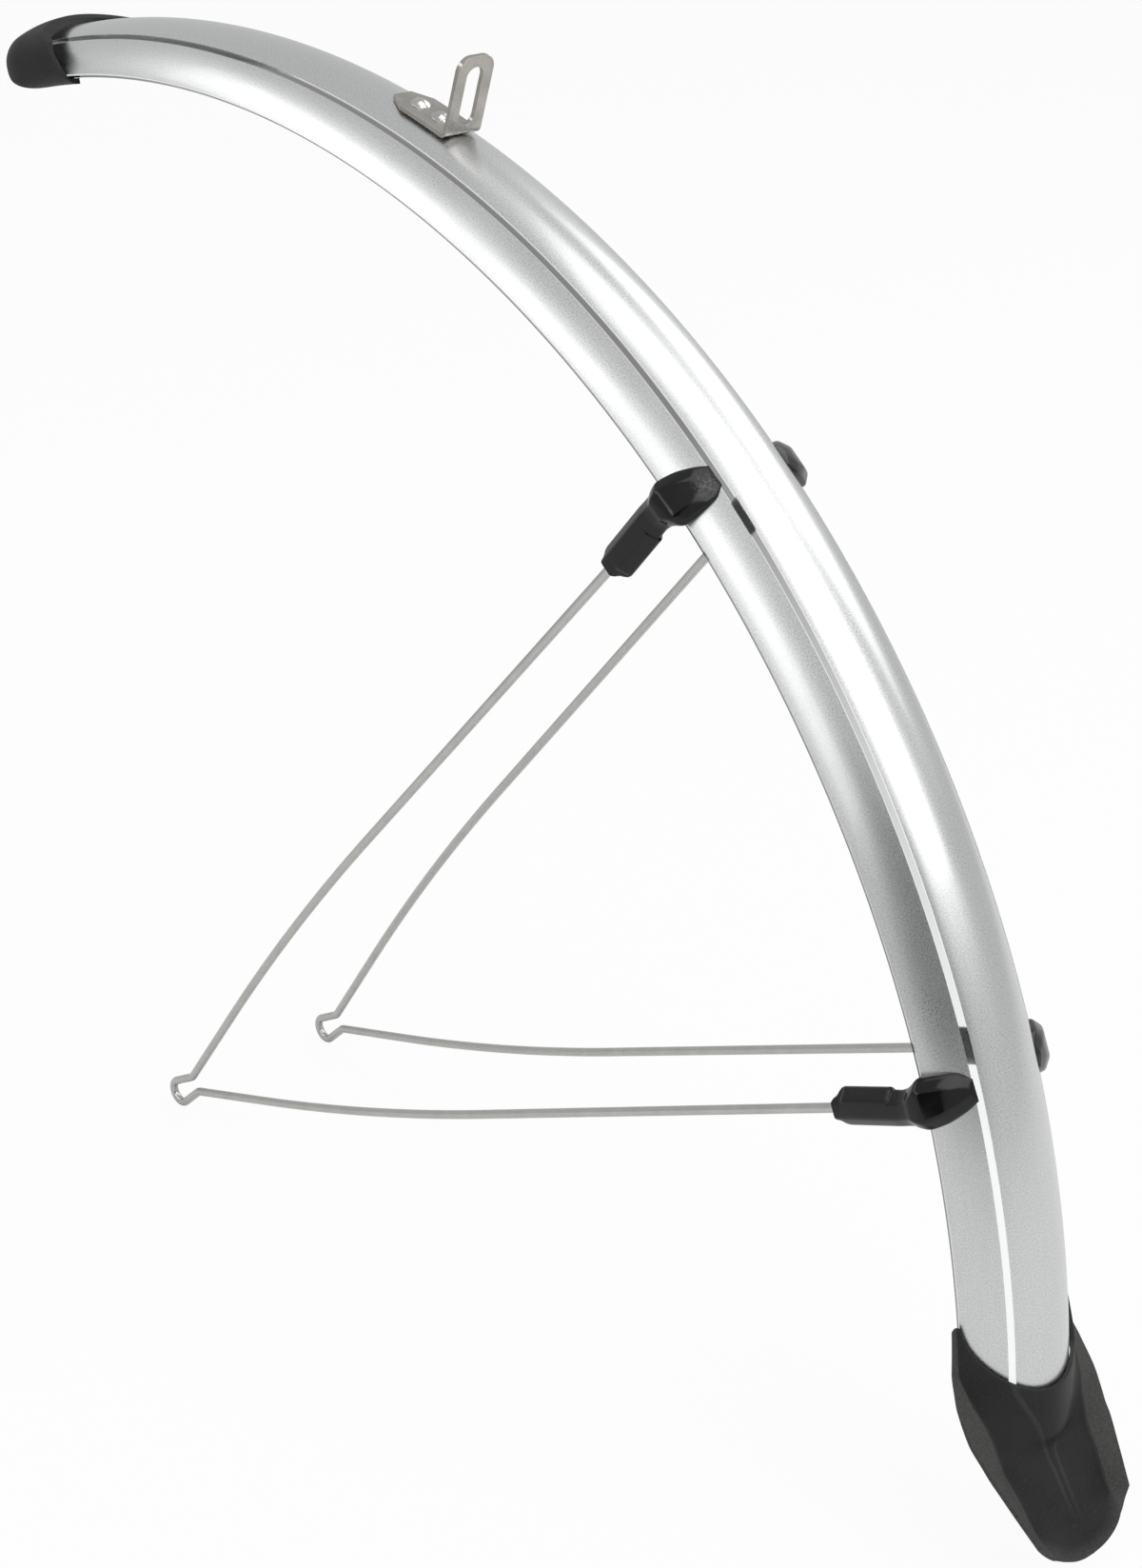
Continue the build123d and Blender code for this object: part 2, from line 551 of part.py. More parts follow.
def cap_chin():
    """Solid under and in front of the lower edge of the cap, where that edge rises to the nose."""
    nose = radial_plane(CAP_NOSE, EDGE_RADIUS - CAP_DROP)
    side_view = Plane(nose.origin, x_dir=nose.x_dir, z_dir=nose.x_dir.cross(nose.z_dir))
    start, length = -CAP_CHIN_START, 2 * CAP_CHIN
    front = Pos(start + length / 2, 0) * Rectangle(length, length)
    front -= Pos(start, CAP_CHIN) * Circle(CAP_CHIN)
    return extrude(side_view * front, amount=BLADE_WIDTH, both=True)


def flap_section(station):
    """Closed section of the flap's wall at one station, around the blade's own section."""
    angle, rise, crease_step, fold_step, edge_step = station
    gap = SLIP_FIT + FLAP_ROOM + FLAP_WALL
    spots = [crown_point(LINE_ANGLE, -gap), flank_point((LINE_ANGLE + EDGE_ANGLE) / 2, -gap),
             flank_point(EDGE_ANGLE, -gap)]
    spots.append((spots[2][0], spots[2][1] - FLAP_SIDE))
    middle_step = tuple((a + b) / 2 for a, b in zip(crease_step, fold_step))
    steps = (crease_step, middle_step, fold_step, edge_step)
    outer = [Vector(0, CROWN_RADIUS + gap + rise)]
    outer += [Vector(y + dy, r + dr) for (y, r), (dy, dr) in zip(spots, steps)]
    inward = [(b - a).normalized().rotate(Axis.Z, -90) for a, b in zip(outer, outer[1:])]
    inner = [outer[0] - Vector(0, FLAP_WALL)]
    for spot, before, after in zip(outer[1:], inward, inward[1:] + inward[-1:]):
        inner.append(spot + (before + after) * (FLAP_WALL / (1 + before.dot(after))))
    edges = []
    for crown, *line in (outer, inner):
        turned = [Vector(-v.X, v.Y) for v in line]
        edges += [ThreePointArc(turned[0], crown, line[0]), Polyline(*line), Polyline(*turned)]
    for side in (-1, 1):
        edges.append(Line(*[(side * v[-1].X, v[-1].Y) for v in (outer, inner)]))
    return (SECTION * make_face(edges)).rotate(AXLE, angle)


def mud_flap():
    """Flap over the rear end of the blade, with a scooped rim, side flanges and a round lower edge."""
    body = loft([flap_section(s) for s in FLAP_STATIONS], ruled=True)
    rim = scoop(FLAP_RIM_TOP, FLAP_RIM_DEPTH, EDGE_HALF + FLAP_RIM_MARGIN)
    top = Pos(CROWN_RADIUS, 0, FLAP_TOP + BLADE_WIDTH / 2) * Box(CROWN_RADIUS, 2 * BLADE_WIDTH, BLADE_WIDTH)
    bottom = below_scoop(FLAP_BOTTOM + FLAP_BOTTOM_DEPTH, FLAP_BOTTOM_DEPTH, FLAP_BOTTOM_HALF)
    return body - rim - top - bottom


def build():
    """All pieces by node name, around the axle."""
    pieces = blade_pieces()
    pieces["crown_bracket"] = bracket()
    pieces["bracket_rivets"] = Compound(children=[rivet(s) for s in RIVET_PLACES])
    pieces["rivet_washers"] = Compound(children=[rivet_washer(s) for s in RIVET_PLACES])
    pieces["front_cap"] = front_cap()
    pieces["mud_flap"] = mud_flap()
    left = {"stay_left": stay(), "clip_upper_left": stay_clip(UPPER, UPPER_LEG),
            "clip_lower_left": stay_clip(LOWER, LOWER_LEG)}
    for name, solid in left.items():
        pieces[name] = solid
        pieces[name.replace("left", "right")] = mirrored(solid)
    screws = [clip_screw(c) for c in (UPPER, LOWER)]
    pieces["clip_screws"] = Compound(children=screws + [mirrored(s) for s in screws])
    return pieces


if __name__ == "__main__":
    os.makedirs("parts", exist_ok=True)
    shift = Location(-slot_centre())
    for name, solid in build().items():
        export_step(shift * solid, f"parts/{name}.step")
    print("slot centre from the axle:", slot_centre())
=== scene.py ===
import logging
from collections.abc import Callable
from dataclasses import dataclass, field
from enum import Enum
from math import asin, cos, pi, radians, sin

import bmesh
import bpy
import numpy as np
from mathutils import Matrix, Quaternion, Vector


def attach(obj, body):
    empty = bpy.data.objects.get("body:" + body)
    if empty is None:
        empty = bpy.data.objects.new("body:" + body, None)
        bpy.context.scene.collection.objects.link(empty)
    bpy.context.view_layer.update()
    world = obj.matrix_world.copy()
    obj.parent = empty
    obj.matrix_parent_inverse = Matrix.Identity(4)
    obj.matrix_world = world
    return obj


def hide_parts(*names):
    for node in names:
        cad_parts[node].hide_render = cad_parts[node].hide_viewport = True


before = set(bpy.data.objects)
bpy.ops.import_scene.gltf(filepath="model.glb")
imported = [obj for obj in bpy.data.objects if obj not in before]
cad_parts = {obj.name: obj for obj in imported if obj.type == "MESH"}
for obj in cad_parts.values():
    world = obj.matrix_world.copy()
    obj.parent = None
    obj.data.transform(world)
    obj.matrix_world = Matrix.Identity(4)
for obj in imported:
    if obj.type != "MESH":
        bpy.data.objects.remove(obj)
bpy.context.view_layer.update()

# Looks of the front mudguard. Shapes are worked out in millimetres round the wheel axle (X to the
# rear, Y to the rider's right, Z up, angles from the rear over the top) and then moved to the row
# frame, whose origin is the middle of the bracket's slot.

Array = np.ndarray
Triple = tuple[float, float, float]
Socket = bpy.types.NodeSocket
Pieces = dict[str, bpy.types.Object]
LOG = logging.getLogger("mudguard")
MM = 0.001
SHARP_ANGLE = radians(48)
ROOT = "root"
SLOT_CENTRE = np.array([115.763, 0.0, 356.898])


def to_row(points: Array) -> Array:
    """Moves points from the axle frame in millimetres to the row frame in metres.

    Args:
        points: coordinates, with X, Y and Z along the last axis.

    Returns:
        The same points, less the slot's centre, in metres.
    """
    return (points - SLOT_CENTRE) * MM


def on_wheel(side: Array, radius: Array, angle: Array) -> Array:
    """Points at a sideways place, a radius and an angle: (r cos a, y, r sin a).

    Args:
        side: Y of each point.
        radius: distance from the axle's line.
        angle: angle in degrees, from the rear over the top.

    Returns:
        Array with X, Y and Z along a new last axis.
    """
    side, radius, turn = np.broadcast_arrays(side, radius, np.radians(angle))
    return np.stack([radius * np.cos(turn), side, radius * np.sin(turn)], axis=-1)


def unit(steps: Array) -> Array:
    """Steps of length 1 in the same directions, with their parts along the last axis."""
    return steps / np.linalg.norm(steps, axis=-1, keepdims=True)


def link(name: str, data: bpy.types.ID) -> bpy.types.Object:
    """Puts an object into the scene, at the origin.

    Args:
        name: name of the object.
        data: its mesh, lamp or camera.

    Returns:
        The object.
    """
    obj = bpy.data.objects.new(name, data)
    bpy.context.scene.collection.objects.link(obj)
    return obj


def smooth_through(knots: Array, values: Array, places: Array) -> Array:
    """Monotone cubic through knots: Hermite curves whose slopes never overshoot the values.

    Args:
        knots: rising places of the known values.
        values: one row of values per knot.
        places: where the curve is wanted, within the knots.

    Returns:
        One row of values per place.
    """
    knots = np.asarray(knots, float)
    values = np.asarray(values, float).reshape(len(knots), -1)
    step = np.diff(knots)[:, None]
    secant = np.diff(values, axis=0) / step
    before, after = secant[:-1], secant[1:]
    same = before * after > 0
    blend = np.where(same, 2 * before * after / np.where(same, before + after, 1.0), 0.0)
    slope = np.concatenate([secant[:1], blend, secant[-1:]])
    k = np.clip(np.searchsorted(knots, places, side="right") - 1, 0, len(knots) - 2)
    t = ((places - knots[k]) / step[k, 0])[:, None]
    rise = t * t * (3 - 2 * t)
    out = values[k] * (1 - rise) + values[k + 1] * rise
    return out + step[k] * (t * (1 - t) ** 2 * slope[k] - t * t * (1 - t) * slope[k + 1])


class Ends(Enum):
    """How the ends of a tube are closed: along a wall, out and back, or by one face."""

    STRIP = "strip"
    FILL = "fill"


@dataclass
class Mesh:
    """Points and faces of a piece, gathered shell by shell."""

    points: list[Array] = field(default_factory=list)
    faces: list[list[int]] = field(default_factory=list)
    flow: list[Array] = field(default_factory=list)

    def add(self, rows: Array, ends: Ends, flow: Array | None = None) -> None:
        """Adds a tube of closed loops: four-sided faces between rows, and the ends closed.

        Args:
            rows: loops of points, rows by columns by XYZ.
            ends: how the first and the last loop are closed.
            flow: place of each point along and across its surface, in metres.
        """
        start = sum(len(p) for p in self.points)
        m, n = rows.shape[:2]
        grid = np.arange(m * n).reshape(m, n) + start
        ahead = np.roll(grid, -1, axis=1)
        sides = np.stack([grid[:-1], ahead[:-1], ahead[1:], grid[1:]], axis=-1)
        self.faces += sides.reshape(-1, 4).tolist()
        for loop in (grid[0], grid[-1]):
            if ends is Ends.FILL:
                self.faces.append(loop.tolist())
            else:
                out, back = loop[:n // 2], loop[n // 2:][::-1]
                strip = np.stack([out[:-1], out[1:], back[1:], back[:-1]], axis=-1)
                self.faces += strip.tolist()
        self.points.append(rows.reshape(-1, 3))
        zero = np.zeros_like(rows)
        self.flow.append((zero if flow is None else flow).reshape(-1, 3))

    def piece(self, name: str, mirror: bool = False, bevel: float = 0.0) -> bpy.types.Object:
        """Makes the object, with outward faces and smooth shading.

        Args:
            name: name of the piece.
            mirror: whether it is the right-hand copy.
            bevel: width in millimetres of rounded edges, or 0 for none.

        Returns:
            The object, which rides on the root body.
        """
        points = np.concatenate(self.points)
        if mirror:
            points = points * np.array([1.0, -1.0, 1.0])
        mesh = bpy.data.meshes.new(name)
        mesh.from_pydata(to_row(points).tolist(), [], self.faces)
        flow = mesh.attributes.new("flow", "FLOAT_VECTOR", "POINT")
        flow.data.foreach_set("vector", np.concatenate(self.flow).astype(np.float32).ravel())
        shell = bmesh.new()
        shell.from_mesh(mesh)
        bmesh.ops.recalc_face_normals(shell, faces=shell.faces)
        shell.to_mesh(mesh)
        shell.free()
        mesh.polygons.foreach_set("use_smooth", np.ones(len(mesh.polygons), bool))
        mesh.set_sharp_from_angle(angle=SHARP_ANGLE)
        obj = link(name, mesh)
        if bevel:
            edges = obj.modifiers.new("rounded_edges", "BEVEL")
            edges.width, edges.segments = bevel * MM, 3
            edges.limit_method, edges.angle_limit = "ANGLE", SHARP_ANGLE
            edges.harden_normals = True
        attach(obj, ROOT)
        return obj


class Graph:
    """Node graph of one material, round a Principled shader.

    An edge's mask is 0 and 1 where the rounded and the plain normal have these cosines.
    """

    edge_cosines: tuple[float, float] = (0.995, 0.9)

    def __init__(self, name: str, color: Triple, **constants: float) -> None:
        """Makes the material.

        Args:
            name: name of the material.
            color: base colour.
            constants: the shader's own sockets, with _ for a space.
        """
        self.material = bpy.data.materials.new(name)
        self.material.use_nodes = True
        self.tree = self.material.node_tree
        self.shader = self.tree.nodes["Principled BSDF"]
        self.shader.inputs["Base Color"].default_value = (*color, 1.0)
        for key, value in constants.items():
            self.shader.inputs[key.replace("_", " ")].default_value = value

    def add(self, kind: str, **inputs: object) -> bpy.types.Node:
        """Adds a node and sets or links its inputs.

        Args:
            kind: node type without the "ShaderNode" in front.
            inputs: input names, with _ for a space; sockets are linked and other values are set.

        Returns:
            The node.
        """
        node = self.tree.nodes.new("ShaderNode" + kind)
        for key, value in inputs.items():
            self.put(node.inputs[key.replace("_", " ")], value)
        return node

    def put(self, socket: Socket, value: object) -> None:
        """Links a socket to an output, or sets its value.

        Args:
            socket: the input.
            value: an output to link, or a value to set.
        """
        if isinstance(value, Socket):
            self.tree.links.new(value, socket)
        else:
            socket.default_value = value

    def place(self, scale: Triple = (1.0, 1.0, 1.0)) -> Socket:
        """Object coordinates, stretched by a scale."""
        coords = self.add("TexCoord").outputs["Object"]
        return self.add("Mapping", Vector=coords, Scale=scale).outputs["Vector"]

    def along(self, scale: Triple = (1.0, 1.0, 1.0)) -> Socket:
        """The piece's own places on its surface, which Mesh.add takes as its flow.

        Args:
            scale: stretch of each of the three places.

        Returns:
            The stretched places.
        """
        node = self.add("Attribute")
        node.attribute_name = "flow"
        return self.add("Mapping", Vector=node.outputs["Vector"], Scale=scale).outputs["Vector"]

    def noise(self, where: Socket, scale: float, detail: float = 3.0) -> Socket:
        """Noise from 0 to 1 at a number of cells per metre."""
        return self.add("TexNoise", Vector=where, Scale=scale, Detail=detail).outputs["Fac"]

    def span(self, value: Socket, low: float, high: float, first: float, last: float,
             ) -> Socket:
        """Maps a value from one range to another, held at both ends."""
        node = self.add("MapRange", Value=value, From_Min=low, From_Max=high, To_Min=first,
                        To_Max=last)
        return node.outputs["Result"]

    def math(self, kind: str, a: object, b: object) -> Socket:
        """Result of an arithmetic node.

        Args:
            kind: the operation.
            a: first value or socket.
            b: second value or socket.

        Returns:
            The result's socket.
        """
        node = self.tree.nodes.new("ShaderNodeMath")
        node.operation = kind
        self.put(node.inputs[0], a)
        self.put(node.inputs[1], b)
        return node.outputs[0]

    def away(self, value: Socket, middle: float = 0.0) -> Socket:
        """Distance of a value from a middle, without its sign."""
        return self.math("ABSOLUTE", self.math("SUBTRACT", value, middle) if middle else value, 0.0)

    def blend(self, share: Socket, first: object, last: object) -> Socket:
        """Mixes two colours.

        Args:
            share: share of the last colour, from 0 to 1.
            first: first colour or socket.
            last: last colour or socket.

        Returns:
            The mixed colour's socket.
        """
        node = self.tree.nodes.new("ShaderNodeMix")
        node.data_type = "RGBA"
        self.put(node.inputs["Factor"], share)
        for socket, value in ((node.inputs[6], first), (node.inputs[7], last)):
            self.put(socket, value if isinstance(value, Socket) else (*value, 1.0))
        return node.outputs[2]

    def edges(self, radius: float) -> tuple[Socket, Socket]:
        """Rounded normal near sharp edges, and a mask that is 1 on them.

        Args:
            radius: radius of the rounding in metres.

        Returns:
            The rounded normal and the mask.
        """
        soft = self.add("Bevel", Radius=radius).outputs["Normal"]
        plain = self.add("NewGeometry").outputs["Normal"]
        dot = self.tree.nodes.new("ShaderNodeVectorMath")
        dot.operation = "DOT_PRODUCT"
        self.put(dot.inputs[0], soft)
        self.put(dot.inputs[1], plain)
        return soft, self.span(dot.outputs["Value"], *self.edge_cosines, 0.0, 1.0)

    def relief(self, height: Socket, strength: float, depth: float,
               normal: Socket | None = None) -> None:
        """Gives the shader a bump.

        Args:
            height: height from 0 to 1.
            strength: how strongly it shows.
            depth: depth in metres that a height of 1 stands for.
            normal: normal to start from.
        """
        bump = self.add("Bump", Height=height, Strength=strength, Distance=depth)
        if normal is not None:
            self.put(bump.inputs["Normal"], normal)
        self.put(self.shader.inputs["Normal"], bump.outputs["Normal"])

    def set(self, name: str, value: object) -> None:
        """Links or sets one of the shader's own sockets."""
        self.put(self.shader.inputs[name], value)


@dataclass(frozen=True)
class ClearPlastic:
    """Clear gloss plastic of the bare blade, with painted shade on its clear lines and edges.

    Pairs give where a change starts and ends, in metres: half the width of the line's painted shade,
    the places round the wheel between which the line turns to painted shade, and the depth of the
    edge's painted shade.
    """

    color: Triple = (0.95, 0.965, 0.955)
    # Dark grey that is painted on the clear lines and edges as shade seen through them.
    painted_shade_color: Triple = (0.22, 0.218, 0.213)
    line_reach: float = 0.014
    edge_reach: float = 0.033
    shaded_line_half: tuple[float, float] = (0.0007, 0.001)
    painted_shade_from: tuple[float, float] = (0.13, 0.33)
    shaded_edge_depth: tuple[float, float] = (0.0005, 0.0002)
    roughness: float = 0.03
    streaks: Triple = (900.0, 40.0, 1.0)

    def make(self) -> bpy.types.Material:
        """Clear material with fine scuffs, and painted shade on its edges and on its lines towards
        the front.

        Returns:
            The material.
        """
        g = Graph("clear_plastic", self.color, Transmission_Weight=1.0, IOR=1.49)
        place = g.add("SeparateXYZ", Vector=g.along())
        away = g.away(place.outputs["X"])
        # Painted shade: the clear lines darken towards the front and the clear edges are grey, as the
        # shade seen through them.
        line = g.span(g.away(away, self.line_reach), *self.shaded_line_half, 1.0, 0.0)
        front = g.span(place.outputs["Y"], *self.painted_shade_from, 0.0, 1.0)
        edge = g.span(away, *(self.edge_reach - depth for depth in self.shaded_edge_depth), 0.0, 1.0)
        painted_shade = g.math("MAXIMUM", g.math("MULTIPLY", line, front), edge)
        g.set("Base Color", g.blend(painted_shade, self.color, self.painted_shade_color))
        streaks = g.noise(g.along(self.streaks), 1.0, 4.0)
        g.set("Roughness", g.span(streaks, 0.35, 0.8, self.roughness, 4 * self.roughness))
        return g.material


@dataclass(frozen=True)
class SilverFoil:
    """Satin silver foil under a clear gloss; tones are the shares of its colour in the sparkle."""

    color: Triple = (0.66, 0.672, 0.675)
    # Dark grey of the foil's back: painted shade of the blade's shaded inside.
    back: Triple = (0.1, 0.102, 0.102)
    tones: tuple[float, float] = (0.8, 1.17)
    roughness: float = 0.31
    thickness: float = 0.0002
    grain: float = 2000.0
    grain_share: float = 0.85
    lines: Triple = (2600.0, 60.0, 1.0)
    cloud: float = 22.0
    relief: float = 0.00004

    def make(self) -> bpy.types.Material:
        """Metal with fine sparkle, faint rolling lines, a clear coat and a back painted dark as
        painted shade.

        Returns:
            The material.
        """
        g = Graph("silver_foil", self.color, Coat_Weight=0.55, Coat_Roughness=0.06, Coat_IOR=1.5)
        depth = g.add("SeparateXYZ", Vector=g.along()).outputs["Z"]
        front = g.span(depth, 0.2 * self.thickness, 0.8 * self.thickness, 1.0, 0.0)
        g.set("Metallic", front)
        grain = g.noise(g.along(), self.grain, 2.0)
        lines = g.noise(g.along(self.lines), 1.0, 3.0)
        cloud = g.noise(g.along(), self.cloud, 3.0)
        mixed = g.math("ADD", g.math("MULTIPLY", grain, self.grain_share),
                       g.math("MULTIPLY", lines, 1 - self.grain_share))
        dark, light = (tuple(min(1.0, tone * c) for c in self.color) for tone in self.tones)
        face = g.blend(g.span(mixed, 0.3, 0.7, 0.0, 1.0), dark, light)
        # Painted shade: the back is dark and not metal, for the shaded inside seen through the clear
        # lines.
        g.set("Base Color", g.blend(front, self.back, face))
        rough = g.math("ADD", g.span(cloud, 0.3, 0.7, -0.02, 0.03),
                       g.span(grain, 0.3, 0.7, -0.04, 0.05))
        g.set("Roughness", g.math("ADD", rough, self.roughness))
        g.relief(mixed, 0.18, self.relief)
        return g.material


@dataclass(frozen=True)
class BlackMoulding:
    """Matte black moulding with a fine sparked grain."""

    name: str = "black_moulding"
    color: Triple = (0.012, 0.0123, 0.012)
    roughness: float = 0.52
    grain: float = 1500.0
    dust: float = 55.0
    relief: float = 0.00009
    edge: float = 0.0003
    # Paler colour painted on the flap's facets as painted light, or None.
    lit_facet_color: Triple | None = None

    def make(self) -> bpy.types.Material:
        """Black material with grain, faint dust, edges lightened as a painted highlight and, if
        asked, facets lightened as painted light.

        Returns:
            The material.
        """
        g = Graph(self.name, self.color, Specular_IOR_Level=0.2)
        soft, rim = g.edges(self.edge)
        grain = g.noise(g.place(), self.grain, 3.0)
        dust = g.noise(g.place(), self.dust, 5.0)
        pale = tuple(1.8 * c + 0.003 for c in self.color)
        # Pale colour of the painted edge highlight, not wear.
        wear_and_highlight = tuple(2.6 * c + 0.006 for c in self.color)
        tone = g.blend(g.span(dust, 0.42, 0.72, 0.0, 0.6), self.color, pale)
        speck = g.span(grain, 0.5, 0.75, 0.0, 0.8)
        tone = g.blend(speck, tone, pale)
        # Painted light: the flap's flanges, part of its pad, its creases and its lower end are
        # lightened as the light falls on them.
        if self.lit_facet_color is not None:
            share = g.math("MULTIPLY", self.painted_light_share(g), g.span(grain, 0.3, 0.7, 0.55, 1.2))
            tone = g.blend(share, tone, self.lit_facet_color)
        # Painted highlight: the edges are lightened.
        g.set("Base Color", g.blend(g.math("MULTIPLY", rim, 0.5), tone, wear_and_highlight))
        g.set("Roughness", g.span(dust, 0.3, 0.75, self.roughness - 0.06, self.roughness + 0.1))
        g.relief(grain, 0.55, self.relief, soft)
        return g.material

    @staticmethod
    def painted_light_share(g: Graph) -> Socket:
        """Share of painted light, where the light falls on the flap: high on its flanges, less on the
        pad's right half, the creases and the lower end.

        Args:
            g: the material's graph; its flow is the flap's place across, then the share down it.

        Returns:
            The share of the paler colour that is painted light.
        """
        place = g.add("SeparateXYZ", Vector=g.along())
        across, down = place.outputs["X"], place.outputs["Y"]
        flange = g.span(g.away(across), 1.97, 2.1, 0.0, 0.85)
        pad = g.math("MULTIPLY", g.span(across, -0.2, 0.9, 0.0, 0.5),
                     g.span(across, 1.0, 1.15, 1.0, 0.0))
        upper = g.math("MULTIPLY", pad, g.span(down, 0.3, 0.42, 1.0, 0.0))
        crease = g.away(g.away(across), 1.0)
        ridge = g.math("MULTIPLY", g.span(crease, 0.03, 0.1, 0.35, 0.0),
                       g.span(down, 0.7, 0.85, 1.0, 0.0))
        rest = g.math("MAXIMUM", ridge, g.span(down, 0.93, 0.99, 0.0, 0.6))
        return g.math("MAXIMUM", flange, g.math("MAXIMUM", upper, rest))


@dataclass(frozen=True)
class ClipPlastic:
    """Satin black plastic of the stay clips, scuffed round one place if asked."""

    name: str = "clip_plastic"
    color: Triple = (0.003, 0.0031, 0.0032)
    roughness: float = 0.13
    grain: float = 1900.0
    cloud: float = 120.0
    scuff_at: Triple | None = None
    scuff_radius: float = 0.0052
    scuff_color: Triple = (0.16, 0.165, 0.163)

    def make(self) -> bpy.types.Material:
        """Dark satin material with a fine grain and, if asked, pale scuffs.

        Returns:
            The material.
        """
        g = Graph(self.name, self.color, Specular_IOR_Level=0.36)
        grain = g.noise(g.place(), self.grain, 2.0)
        cloud = g.noise(g.place(), self.cloud, 4.0)
        rough = g.span(cloud, 0.3, 0.75, self.roughness - 0.04, self.roughness + 0.1)
        pale = tuple(2.0 * c + 0.002 for c in self.color)
        tone = g.blend(g.span(cloud, 0.5, 0.75, 0.0, 0.6), self.color, pale)
        if self.scuff_at is not None:
            near = g.span(self.from_scuff(g), 1.0, 0.35, 0.0, 1.0)
            scratch = g.noise(g.place((1.0, 1.0, 0.4)), 2300.0, 5.0)
            mask = g.math("MULTIPLY", near, g.span(scratch, 0.48, 0.68, 0.0, 0.7))
            tone = g.blend(mask, tone, self.scuff_color)
            rough = g.math("ADD", rough, g.math("MULTIPLY", mask, 0.22))
        g.set("Base Color", tone)
        g.set("Roughness", rough)
        g.relief(grain, 0.22, 0.00005)
        return g.material

    def from_scuff(self, g: Graph) -> Socket:
        """Distance from the scuffed place, in scuff radii.

        Args:
            g: the material's graph.

        Returns:
            The distance's socket.
        """
        node = g.tree.nodes.new("ShaderNodeVectorMath")
        node.operation = "DISTANCE"
        g.put(node.inputs[0], g.place())
        node.inputs[1].default_value = self.scuff_at
        return g.math("DIVIDE", node.outputs["Value"], self.scuff_radius)


class Grain(Enum):
    """Direction of the fine lines in a metal, as stretches of its coordinates."""

    ROLLED = (260.0, 1900.0, 260.0)
    DRAWN = (25.0, 1400.0, 1400.0)
    TURNED = (900.0, 900.0, 900.0)


@dataclass(frozen=True)
class BareMetal:
    """Plain steel with fine lines and a few stains."""

    name: str
    color: Triple
    roughness: float
    grain: Grain
    relief: float = 0.00003
    stains: float = 0.8
    edge: float = 0.0002
    stain_grain: float = 160.0

    def make(self) -> bpy.types.Material:
        """Metal whose lines vary its gloss, with edges lightened as a painted highlight and darker
        stains.

        Returns:
            The material.
        """
        g = Graph(self.name, self.color, Metallic=1.0)
        drawn = self.grain is Grain.DRAWN
        where = g.along(self.grain.value) if drawn else g.place(self.grain.value)
        lines = g.noise(where, 1.0, 4.0)
        stain = g.noise(g.place(), self.stain_grain, 4.0)
        dark = tuple(0.72 * c for c in self.color)
        # Paler colour of the painted edge highlight.
        light = tuple(min(1.0, 1.3 * c) for c in self.color)
        tone = g.blend(g.span(stain, 0.35, 0.7, 0.0, self.stains), self.color, dark)
        soft = None
        if self.edge:
            soft, rim = g.edges(self.edge)
            # Painted highlight: the edges are lightened.
            tone = g.blend(g.math("MULTIPLY", rim, 0.8), tone, light)
        g.set("Base Color", tone)
        g.set("Roughness", g.span(lines, 0.25, 0.75, self.roughness - 0.07, self.roughness + 0.1))
        g.relief(lines, 0.25, self.relief, soft)
        return g.material


